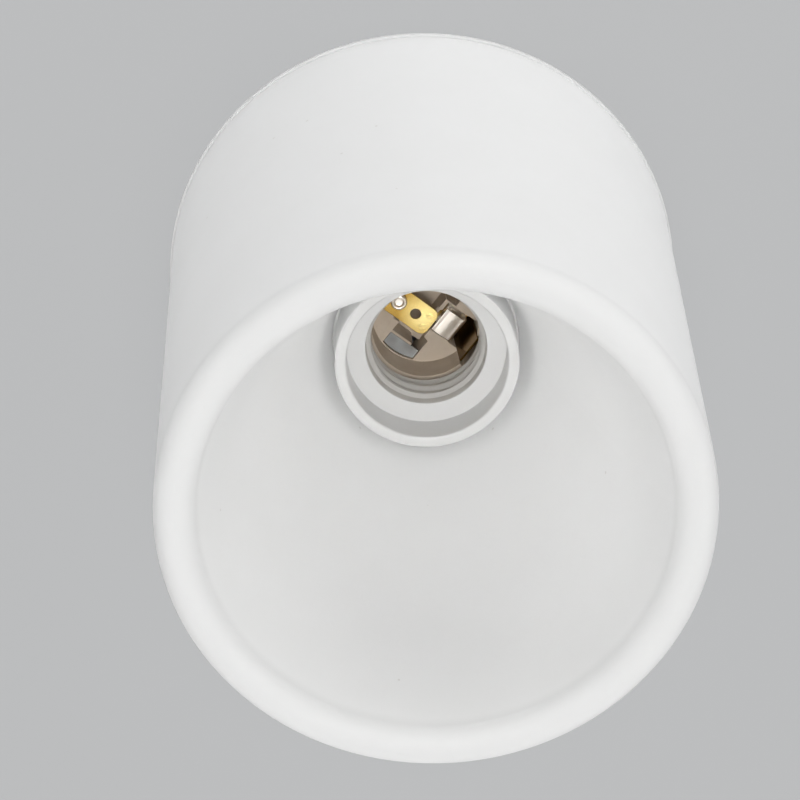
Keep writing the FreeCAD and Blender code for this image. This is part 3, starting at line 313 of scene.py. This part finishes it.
# %% Pips on the centre contact
LEAF_BEND = (-3.6, -26.9)       # along the socket's turned line and height, in mm
LEAF_TIP = (3.0, -27.3)
PIP_RADIUS, PIP_RISE = 1.15, 0.055
PIP_RINGS, PIP_COLUMNS = 9, 32
PIP_SINK, PIP_ROOT = 0.004, 0.2  # how far the rim and the closing point lie inside the sheet
LEAF_FALL = (LEAF_TIP[1] - LEAF_BEND[1]) / (LEAF_TIP[0] - LEAF_BEND[0])
DOWN_LEAF = (ALONG + Vector((0, 0, LEAF_FALL))).normalized()
OFF_LEAF = ACROSS.cross(DOWN_LEAF)


def coined_pip(name, along, across):
    """A cap whose height is its rise times (1 + cos(pi times the share of its radius)) / 2, less the sink,
    measured off the sloping leaf."""
    height = LEAF_BEND[1] + LEAF_FALL * (along - LEAF_BEND[0])
    spot = np.array(ALONG * along + ACROSS * across + Vector((0, 0, height)))
    ring = np.linspace(0, 1, PIP_RINGS)[:, None]
    turn = np.linspace(0, 2 * np.pi, PIP_COLUMNS, endpoint=False)[None, :]
    lift = PIP_RISE * (1 + np.cos(np.pi * ring)) / 2 - PIP_SINK + 0 * turn
    flat = ring * PIP_RADIUS * np.stack([np.cos(turn), np.sin(turn)])
    grid = spot + flat[0][..., None] * np.array(DOWN_LEAF) + flat[1][..., None] * np.array(ACROSS)
    grid = grid + lift[..., None] * np.array(OFF_LEAF)
    root = spot - PIP_ROOT * np.array(OFF_LEAF) + 0 * grid[:1]
    pip = face_outwards(piece_from_grid(name, np.concatenate([grid, root]), False, True))
    pip.data.set_sharp_from_angle(angle=SHARP_EDGE)
    return pip


pips = [coined_pip("contact_pip_1", 1.35, 2.75), coined_pip("contact_pip_2", 1.2, -0.55)]
print("the leaf faces", [round(x, 2) for x in OFF_LEAF])
for pip in pips:
    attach(pip, "centre_contact")

# %% [markdown]
# ## The rivet that holds the centre contact
#
# Contacts are fixed with tubular rivets: a low head with a round brim and a hollow middle. A bevelled copy
# of the solid would have no hollow. So it is turned from an outline, as on a lathe, with the CAD rivet's
# own place, brim and shank.

# %% Tubular rivet
RIVET_PLACE = (-6.9, 0.75)       # along and across the socket's turned line, in mm
rivet_low, rivet_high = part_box("centre_rivet")
front, back = rivet_low[2] / MM, rivet_high[2] / MM
SHANK, HEAD, HEAD_HEIGHT = 1.2, 1.9, 1.2
HOLLOW, HOLLOW_FLOOR, HOLLOW_DEPTH = 1.15, 1.0, 0.8
RIVET_COLUMNS = 48
RIVET_SHARP = math.radians(40)
RIVET_CORNERS = [
    (0, back, 0), (SHANK, back, 0), (SHANK, front + HEAD_HEIGHT, 0),
    (HEAD, front + HEAD_HEIGHT, 0), (HEAD, front, 0.45),
    (HOLLOW, front, 0.3), (HOLLOW_FLOOR, front + HOLLOW_DEPTH, 0.25), (0, front + HOLLOW_DEPTH, 0),
]
rivet_line = np.array(rounded_outline(RIVET_CORNERS))
turn = np.linspace(0, 2 * np.pi, RIVET_COLUMNS, endpoint=False)[None, :]
rivet_middle = np.array(ALONG * RIVET_PLACE[0] + ACROSS * RIVET_PLACE[1])
rivet_grid = np.stack([rivet_middle[0] + rivet_line[:, :1] * np.cos(turn),
                       rivet_middle[1] + rivet_line[:, :1] * np.sin(turn),
                       rivet_line[:, 1:] + 0 * turn], axis=-1)
rivet = face_outwards(piece_from_grid("tubular_rivet", rivet_grid, False, True))
rivet.data.set_sharp_from_angle(angle=RIVET_SHARP)
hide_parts("centre_rivet")
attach(rivet, "fixture")
print("rivet from", round(front, 2), "to", round(back, 2), "mm")

# %% [markdown]
# ## Shared patterns
#
# Every finish needs some of the same things: grain, soft patches, specks and drawn lines. The nodes could
# be repeated in each material, but one change would then be made nine times. So each of them is a small
# node group with named inputs and outputs that any material can use with its own values. They read Object
# coordinates, which are metres, so a scale of 1000 means features about a millimetre wide.

# %% Lines that drawing leaves on strip metal
NUMBER = "NodeSocketFloat"
LINE_STRETCH = 0.06       # noise stretched along the contacts becomes long fine lines


def pattern(name, inputs, outputs):
    """A new shader node group with number inputs and outputs, and its two end nodes."""
    group = bpy.data.node_groups.new(name, "ShaderNodeTree")
    for label, value in inputs:
        socket = group.interface.new_socket(name=label, in_out="INPUT", socket_type=NUMBER)
        socket.default_value = value
    for label in outputs:
        group.interface.new_socket(name=label, in_out="OUTPUT", socket_type=NUMBER)
    return group, group.nodes.new("NodeGroupInput"), group.nodes.new("NodeGroupOutput")


def places(tree):
    """Each point's place on the object, in metres."""
    return tree.nodes.new("ShaderNodeTexCoord").outputs["Object"]


def noise(tree, scale, vector, detail, roughness=0.5):
    """Soft noise at a place. Its scale is a number or another node's output."""
    node = tree.nodes.new("ShaderNodeTexNoise")
    node.inputs["Detail"].default_value = detail
    node.inputs["Roughness"].default_value = roughness
    if isinstance(scale, (int, float)):
        node.inputs["Scale"].default_value = scale
    else:
        tree.links.new(scale, node.inputs["Scale"])
    tree.links.new(vector, node.inputs["Vector"])
    return node.outputs["Fac"]


lines, lines_in, lines_out = pattern("drawn_lines", [("Size", 900.0)], ["Height"])
turned = lines.nodes.new("ShaderNodeMapping")
turned.inputs["Rotation"].default_value[2] = -SOCKET_TURN
turned.inputs["Scale"].default_value = (LINE_STRETCH, 1.0, 1.0)
lines.links.new(places(lines), turned.inputs["Vector"])
streaks = noise(lines, lines_in.outputs["Size"], turned.outputs["Vector"], detail=3)
lines.links.new(streaks, lines_out.inputs["Height"])
print("lines:", lines.name)

# %% Grain and soft patches
TONE_SIZE, TONE_RANGE = 420.0, (0.35, 0.65)
PATCH_RANGE = (0.32, 0.68)


def spread(tree, value, low, high, to_low=0.0, to_high=1.0):
    """Stretches a value's range from low and high to two new ends, and holds it there."""
    node = tree.nodes.new("ShaderNodeMapRange")
    node.clamp = True
    tree.links.new(value, node.inputs["Value"])
    ends = {"From Min": low, "From Max": high, "To Min": to_low, "To Max": to_high}
    for label, number in ends.items():
        node.inputs[label].default_value = number
    return node.outputs["Result"]


grain, grain_in, grain_out = pattern("fine_grain", [("Size", 1200.0)], ["Height", "Tone"])
relief = noise(grain, grain_in.outputs["Size"], places(grain), detail=4, roughness=0.6)
grain.links.new(relief, grain_out.inputs["Height"])
tone = noise(grain, TONE_SIZE, places(grain), detail=3)
grain.links.new(spread(grain, tone, *TONE_RANGE), grain_out.inputs["Tone"])

patches, patches_in, patches_out = pattern("soft_patches", [("Size", 45.0)], ["Mask"])
cloud = noise(patches, patches_in.outputs["Size"], places(patches), detail=5, roughness=0.55)
patches.links.new(spread(patches, cloud, *PATCH_RANGE), patches_out.inputs["Mask"])
print("grain and patches:", grain.name, patches.name)

# %% Small specks
# A cell of the pattern has a speck in its middle where the cell's own chance number is high enough.
SPECK_INPUTS = [("Size", 260.0), ("Radius", 0.09), ("Rarity", 0.93)]


def maths(tree, operation, first, second):
    """What a Math node makes of two other nodes' outputs."""
    node = tree.nodes.new("ShaderNodeMath")
    node.operation = operation
    tree.links.new(first, node.inputs[0])
    tree.links.new(second, node.inputs[1])
    return node.outputs[0]


specks, specks_in, specks_out = pattern("small_specks", SPECK_INPUTS, ["Mask"])
cells = specks.nodes.new("ShaderNodeTexVoronoi")
specks.links.new(places(specks), cells.inputs["Vector"])
specks.links.new(specks_in.outputs["Size"], cells.inputs["Scale"])
chance = specks.nodes.new("ShaderNodeSeparateColor")
specks.links.new(cells.outputs["Color"], chance.inputs[0])
near = maths(specks, "LESS_THAN", cells.outputs["Distance"], specks_in.outputs["Radius"])
rare = maths(specks, "GREATER_THAN", chance.outputs[0], specks_in.outputs["Rarity"])
specks.links.new(maths(specks, "MULTIPLY", near, rare), specks_out.inputs["Mask"])
print("specks:", specks.name)

# %% [markdown]
# ## Where a tone changes
#
# One piece can have more than one tone, and here the changes are painted light and shade: the socket's
# threaded wall is painted darker as shade, and the collar is painted lighter than the rest of its moulding.
# The rim of the casting is painted a touch darker as shade. Brass is painted darker away from the contact's
# tip as a painted reflection, and darkest on the side strip as painted shade. Separate materials would need
# a cut in the mesh. A mask worked out from a point's place needs none.

# %% Masks from a point's place
# each pair is where a mask starts to change and where it ends, in metres
INSIDE_RADIUS = (0.0142, 0.0144)
INSIDE_FRONT, INSIDE_REAR = (-0.0467, -0.0463), (-0.0345, -0.034)
# heights between which the painted shade on the casting's rim fades in
RIM_SHADE_FADE = (-0.1385, -0.1345)


def heights(tree):
    """Each point's height, 0 at the ceiling and negative below it."""
    parts = tree.nodes.new("ShaderNodeSeparateXYZ")
    tree.links.new(places(tree), parts.inputs[0])
    return parts.outputs["Z"]


def axis_distance(tree):
    """Distance of a point from the lamp's axis: the length of its place with the height taken out."""
    level = tree.nodes.new("ShaderNodeVectorMath")
    level.operation = "MULTIPLY"
    level.inputs[1].default_value = (1, 1, 0)
    tree.links.new(places(tree), level.inputs[0])
    reach = tree.nodes.new("ShaderNodeVectorMath")
    reach.operation = "LENGTH"
    tree.links.new(level.outputs["Vector"], reach.inputs[0])
    return reach.outputs["Value"]


far, far_in, far_out = pattern("far_from_axis", [("Start", 0.009), ("End", 0.0104)], ["Mask"])
between = far.nodes.new("ShaderNodeMapRange")
far.links.new(axis_distance(far), between.inputs["Value"])
far.links.new(far_in.outputs["Start"], between.inputs["From Min"])
far.links.new(far_in.outputs["End"], between.inputs["From Max"])
far.links.new(between.outputs["Result"], far_out.inputs["Mask"])

# painted shade: the moulding of the socket's threaded wall, deep inside the holder, is darkened where shade
# falls
inside, _, inside_out = pattern("socket_painted_shade", [], ["Mask"])
narrow = spread(inside, axis_distance(inside), *INSIDE_RADIUS, 1.0, 0.0)
behind_mouth = spread(inside, heights(inside), *INSIDE_FRONT)
before_rear = spread(inside, heights(inside), *INSIDE_REAR, 1.0, 0.0)
wall = maths(inside, "MULTIPLY", narrow, behind_mouth)
inside.links.new(maths(inside, "MULTIPLY", wall, before_rear), inside_out.inputs["Mask"])

# painted shade: 1 at the shade's rim and 0 above it, so the rim is painted a touch darker than the rest
rim, _, rim_out = pattern("rim_painted_shade", [], ["Mask"])
rim.links.new(spread(rim, heights(rim), *RIM_SHADE_FADE, 1.0, 0.0), rim_out.inputs["Mask"])
print("all patterns:", ", ".join(group.name for group in bpy.data.node_groups))

# %% [markdown]
# ## Finishes
#
# The body is a matt white casting, the holder is moulded, the contacts are drawn brass and nickel plate.
# Each could be one flat colour, but real surfaces are never so even. A finish mixes two close colours by
# soft patches, adds specks where the real surface has them, and lets roughness and relief follow the grain.
# Numbers that are the same everywhere sit on the shader's own sockets. Only what changes over the surface
# comes through nodes.

# %% Placing and mixing patterns
COLOUR_A, COLOUR_B, COLOUR_RESULT = 6, 7, 2     # where a Mix node keeps its sockets for colours


def place_pattern(tree, name, **values):
    """A node that uses one of the patterns with its own values."""
    node = tree.nodes.new("ShaderNodeGroup")
    node.node_tree = bpy.data.node_groups[name]
    for label, value in values.items():
        node.inputs[label].default_value = value
    return node


def two_colours(tree, mask, first, second):
    """The first colour where the mask is 0, the second where it is 1. A colour is three numbers or another
    node's output."""
    mix = tree.nodes.new("ShaderNodeMix")
    mix.data_type = "RGBA"
    tree.links.new(mask, mix.inputs["Factor"])
    for place, colour in ((COLOUR_A, first), (COLOUR_B, second)):
        if isinstance(colour, tuple):
            mix.inputs[place].default_value = (*colour, 1)
        else:
            tree.links.new(colour, mix.inputs[place])
    return mix.outputs[COLOUR_RESULT]


def bumped(tree, height, depth, normal=None):
    """The normal of a relief of that depth in mm, laid over another relief where there is one."""
    bump = tree.nodes.new("ShaderNodeBump")
    bump.inputs["Distance"].default_value = depth * MM
    tree.links.new(height, bump.inputs["Height"])
    if normal is not None:
        tree.links.new(normal, bump.inputs["Normal"])
    return bump.outputs["Normal"]


# %% A finish from its numbers
COAT_ROUGHNESS = 0.25


def finish(name, colour, shade_colour, rough, relief, metallic=0.0, coat=0.0, ior=1.5, patch_size=45.0,
           speck_colour=None, speck_size=260.0, rarity=0.93, drawn=False, zones=()):
    """A material: colours mixed by patches, roughness between two values, relief in mm, and zones, each a
    mask's name, its values and its colour."""
    material = bpy.data.materials.new(name)
    material.use_nodes = True
    tree = material.node_tree
    shader = tree.nodes["Principled BSDF"]
    shader.inputs["Metallic"].default_value = metallic
    shader.inputs["Coat Weight"].default_value = coat
    shader.inputs["Coat Roughness"].default_value = COAT_ROUGHNESS
    shader.inputs["IOR"].default_value = ior
    patch = place_pattern(tree, "soft_patches", Size=patch_size).outputs["Mask"]
    fine = place_pattern(tree, "fine_grain")
    base = two_colours(tree, patch, colour, shade_colour)
    if speck_colour:
        speck = place_pattern(tree, "small_specks", Size=speck_size, Rarity=rarity).outputs["Mask"]
        base = two_colours(tree, speck, base, speck_colour)
    for shape, values, zone_colour in zones:
        base = two_colours(tree, place_pattern(tree, shape, **values).outputs["Mask"], base, zone_colour)
    tree.links.new(base, shader.inputs["Base Color"])
    tree.links.new(spread(tree, fine.outputs["Tone"], 0.0, 1.0, *rough), shader.inputs["Roughness"])
    normal = bumped(tree, fine.outputs["Height"], relief)
    if drawn:
        normal = bumped(tree, place_pattern(tree, "drawn_lines").outputs["Height"], relief, normal)
    tree.links.new(normal, shader.inputs["Normal"])
    return material


FINISHES = {
    "cast_white": dict(
        colour=(0.94, 0.94, 0.936), shade_colour=(0.928, 0.928, 0.922), rough=(0.6, 0.76), relief=0.02,
        ior=1.36, speck_colour=(0.82, 0.81, 0.79), rarity=0.97,
        # painted shade: the casting's rim is painted a touch darker than the rest of the same white
        zones=[("rim_painted_shade", {}, (0.83, 0.83, 0.826))]),
    "painted_steel": dict(
        colour=(0.85, 0.85, 0.85), shade_colour=(0.82, 0.82, 0.815), rough=(0.3, 0.42), relief=0.012),
    "white_screw": dict(
        colour=(0.85, 0.85, 0.85), shade_colour=(0.8, 0.8, 0.79), rough=(0.3, 0.45), relief=0.01),
    "white_moulding": dict(
        colour=(0.71, 0.707, 0.699), shade_colour=(0.69, 0.686, 0.675), rough=(0.3, 0.42), relief=0.006,
        coat=0.1,
        # painted shade on the socket's threaded wall, then painted light on the collar
        zones=[("socket_painted_shade", {}, (0.6, 0.583, 0.555)),
               # painted light: the collar, beyond about 21 mm from the axis, is painted lighter than the
               # rest of the same moulding
               ("far_from_axis", dict(Start=0.0209, End=0.0211), (0.86, 0.858, 0.852))]),
    "beige_moulding": dict(
        colour=(0.56, 0.475, 0.38), shade_colour=(0.5, 0.415, 0.32), rough=(0.5, 0.7), relief=0.03,
        patch_size=160.0, speck_colour=(0.32, 0.26, 0.2), speck_size=900.0, rarity=0.8),
    "brass": dict(
        colour=(0.97, 0.79, 0.34), shade_colour=(0.94, 0.73, 0.28), rough=(0.2, 0.27), relief=0.001,
        metallic=1.0, patch_size=260.0, drawn=True,
        # painted reflection: brass is painted darker from about 1 to 6 mm out from the axis, so the
        # contact's tip looks brighter
        zones=[("far_from_axis", dict(Start=0.001, End=0.0062), (0.42, 0.26, 0.06)),
               # painted shade: the side strip, 9 to 10.4 mm from the axis, is painted dark brown as shade
               # on it
               ("far_from_axis", dict(Start=0.009, End=0.0104), (0.12, 0.066, 0.015))]),
    "nickel": dict(
        colour=(0.97, 0.9, 0.81), shade_colour=(0.91, 0.83, 0.72), rough=(0.3, 0.42), relief=0.002,
        metallic=1.0, patch_size=260.0, drawn=True),
    "zinc_steel": dict(
        colour=(0.38, 0.39, 0.39), shade_colour=(0.33, 0.34, 0.34), rough=(0.28, 0.45), relief=0.006,
        metallic=1.0, patch_size=300.0),
    "grommet_rubber": dict(
        colour=(0.05, 0.05, 0.05), shade_colour=(0.075, 0.072, 0.07), rough=(0.6, 0.8), relief=0.02,
        patch_size=200.0),
}
materials = {name: finish(name, **values) for name, values in FINISHES.items()}
print("finishes:", ", ".join(materials))

# %% Put the finishes on
# the record of the CAD part names a finish for each solid, and its finer copy wears the same one
slot_of_node = {row["node"]: row["material_slot"] for row in frame["record"]["subparts"]}


def wear(piece, material):
    """Gives a piece that one material."""
    piece.data.materials.clear()
    piece.data.materials.append(material)


for name, node in nodes.items():
    wear(node, materials[slot_of_node[name]])
for name, piece in soft.items():
    wear(piece, materials[slot_of_node[name]])
wear(shell, materials["white_moulding"])
for pip in pips:
    wear(pip, materials["brass"])
wear(rivet, materials["nickel"])
print("dressed pieces:", len(nodes) + len(soft) + len(pips) + 2)

# %% [markdown]
# ## Ceiling, floor and light
#
# The fitting hangs from a pale ceiling and is looked at from below. Other views look down on it, so there
# is a pale floor at its rim too. One round backdrop would hide the fitting from some sides. Two sheets
# don't: each shows only on the side that the camera may stand on, which the Backfacing output tells. Both
# keep the object's soft shadow near it and turn plain further out.

# %% Ceiling and floor
BACKDROP = (0.509, 0.515, 0.521)
STAGE_HALF = 6.0                   # in metres, half a sheet's side
PLAIN_FROM, PLAIN_TO = 0.15, 1.2   # metres from the axis, between which the shadow fades to the plain tone
CEILING_HEIGHT, CEILING_PLAIN = 0.6, 0.85
FLOOR_HEIGHT, FLOOR_PLAIN = -140.2, 0.6


def seen_directly(tree):
    """1 for camera, mirror and clear rays, 0 for the rays that light the object."""
    path = tree.nodes.new("ShaderNodeLightPath")
    first = maths(tree, "MAXIMUM", path.outputs["Is Camera Ray"], path.outputs["Is Glossy Ray"])
    return maths(tree, "MAXIMUM", first, path.outputs["Is Transmission Ray"])


def mixed(tree, share, first, second):
    """The first shader where the share is 0, the second where it is 1."""
    node = tree.nodes.new("ShaderNodeMixShader")
    for socket, source in zip(node.inputs, (share, first, second)):
        tree.links.new(source, socket)
    return node.outputs[0]


def one_sided(name, plainness):
    """A matt sheet that shows from its front only. Camera, mirror and clear rays see that share of the
    plain tone near the axis, and nothing but the plain tone far away, so the sheet has no end."""
    material = bpy.data.materials.new(name)
    material.use_nodes = True
    tree = material.node_tree
    tree.nodes.clear()
    matt = tree.nodes.new("ShaderNodeBsdfDiffuse")
    matt.inputs["Color"].default_value = (*BACKDROP, 1)
    plain = tree.nodes.new("ShaderNodeEmission")
    plain.inputs["Color"].default_value = (*BACKDROP, 1)
    clear = tree.nodes.new("ShaderNodeBsdfTransparent")
    side = tree.nodes.new("ShaderNodeNewGeometry")
    share = spread(tree, axis_distance(tree), PLAIN_FROM, PLAIN_TO, plainness, 1.0)
    seen = mixed(tree, share, matt.outputs[0], plain.outputs[0])
    front = mixed(tree, seen_directly(tree), matt.outputs[0], seen)
    whole = mixed(tree, side.outputs["Backfacing"], front, clear.outputs[0])
    tree.links.new(whole, tree.nodes.new("ShaderNodeOutputMaterial").inputs["Surface"])
    return material


def stage_sheet(name, height, facing_up, plainness):
    """A square sheet at that height in mm, its front up or down, that casts no shadow itself."""
    corners = np.array([(-1, -1), (1, -1), (1, 1), (-1, 1)], float) * STAGE_HALF
    order = (0, 1, 2, 3) if facing_up else (3, 2, 1, 0)
    mesh = bpy.data.meshes.new(name)
    mesh.from_pydata([(x, y, height * MM) for x, y in corners], [], [order])
    sheet = bpy.data.objects.new(name, mesh)
    bpy.context.scene.collection.objects.link(sheet)
    mesh.materials.append(one_sided(name, plainness))
    sheet.visible_shadow = False
    return sheet


ceiling = stage_sheet("ceiling", CEILING_HEIGHT, False, CEILING_PLAIN)
floor = stage_sheet("floor", FLOOR_HEIGHT, True, FLOOR_PLAIN)
floor.visible_diffuse = False
floor.visible_glossy = False
floor.visible_transmission = False
print("stage sheets at", [round(sheet.data.vertices[0].co.z / MM, 1) for sheet in (ceiling, floor)], "mm")

# %% The sky
SKY_STRENGTH = 0.03
scene = bpy.context.scene
scene.view_settings.view_transform = "Standard"
world = bpy.data.worlds.new("sky")
world.use_nodes = True
scene.world = world
tree = world.node_tree
tree.nodes.clear()
light = tree.nodes.new("ShaderNodeBackground")
light.inputs["Color"].default_value = (1, 1, 1, 1)
light.inputs["Strength"].default_value = SKY_STRENGTH
shown = tree.nodes.new("ShaderNodeBackground")
shown.inputs["Color"].default_value = (*BACKDROP, 1)
sky = mixed(tree, seen_directly(tree), light.outputs[0], shown.outputs[0])
tree.links.new(sky, tree.nodes.new("ShaderNodeOutputWorld").inputs["Surface"])
print("the sky lights the object at", SKY_STRENGTH)

# %% [markdown]
# ## The lamps
#
# A studio lights a white fitting with soft boxes all round, and this photo also with small lamps near the
# lens that reach into the socket. A single strong lamp would leave the socket black and burn the body out.
# Each lamp is a disc that looks at the fitting's middle, and its place is told by two angles.

# %% Lamps
def soft_lamp(name, place, aim, size, watts):
    """A round area lamp at a place, turned to shine at its aim."""
    lamp = bpy.data.lights.new(name, "AREA")
    lamp.shape = "DISK"
    lamp.size = size
    lamp.energy = watts
    holder = bpy.data.objects.new(name, lamp)
    bpy.context.scene.collection.objects.link(holder)
    holder.location = place
    holder.rotation_mode = "QUATERNION"
    holder.rotation_quaternion = (aim - place).to_track_quat("-Z", "Y")


MIDDLE = Vector((0, 0, -0.08))
LAMP_DISTANCE = 1.6
# degrees round the axis from +X, degrees from straight below, width in metres, watts
LAMPS = {
    "flash": (-90, 23, 0.3, 2.5),
    "straight": (0, 0, 0.3, 4.4),
    "between": (-90, 11, 0.3, 5.8),
    "left_low": (180, 48, 1.3, 5.4),
    "right_low": (0, 48, 1.3, 5.0),
    "back_low": (90, 38, 1.3, 3.6),
    "front_top": (-90, 100, 1.3, 7.2),
    "right_side": (-35, 85, 1.3, 9.0),
    "left_side": (-145, 85, 1.3, 5.2),
    "back_side": (90, 92, 1.3, 12.0),
    "top": (-100, 165, 1.3, 4.5),
    "overhead": (0, 180, 1.3, 8.5),
}
for name, (round_axis, off_axis, width, watts) in LAMPS.items():
    turn, lean = math.radians(round_axis), math.radians(off_axis)
    away = Vector((math.cos(turn) * math.sin(lean), math.sin(turn) * math.sin(lean), -math.cos(lean)))
    soft_lamp(name, MIDDLE + away * LAMP_DISTANCE, MIDDLE, width, watts)
print("lamps:", [lamp.name for lamp in bpy.data.lights])

# %% [markdown]
# ## The camera
#
# The photograph was taken from below, about 24 degrees off the lamp's axis, with a long lens. A camera
# could be turned by eye, but the round rims of the photo give its view exactly. Its axes are written as
# directions in the fitting's frame, and its place is found by stepping back from the middle of the shade's
# rim.

# %% Camera at the photograph's angle
PHOTO_SIDE = 800
FOCAL_PIXELS = 4300
SENSOR_WIDTH = 36                           # in mm
RIM_MIDDLE = Vector((0, 0, -0.14))
RIGHT = Vector((0.99984, 0.0, -0.0179))
DOWN = Vector((-0.00716, 0.9165, -0.39998))
AHEAD = Vector((0.0164, 0.4, 0.91635))
RIM_SEEN = (0.00773, 0.02516, 0.9071)       # right, down and ahead of the camera, in metres
lens = bpy.data.cameras.new("camera")
lens.sensor_width = SENSOR_WIDTH
lens.lens = FOCAL_PIXELS / PHOTO_SIDE * SENSOR_WIDTH
camera = bpy.data.objects.new("camera", lens)
scene.collection.objects.link(camera)
camera.location = RIM_MIDDLE - RIGHT * RIM_SEEN[0] - DOWN * RIM_SEEN[1] - AHEAD * RIM_SEEN[2]
camera.rotation_mode = "QUATERNION"
camera.rotation_quaternion = Matrix((RIGHT, -DOWN, -AHEAD)).transposed().to_quaternion()
scene.camera = camera
print("camera at mm:", [round(x / MM, 1) for x in camera.location])
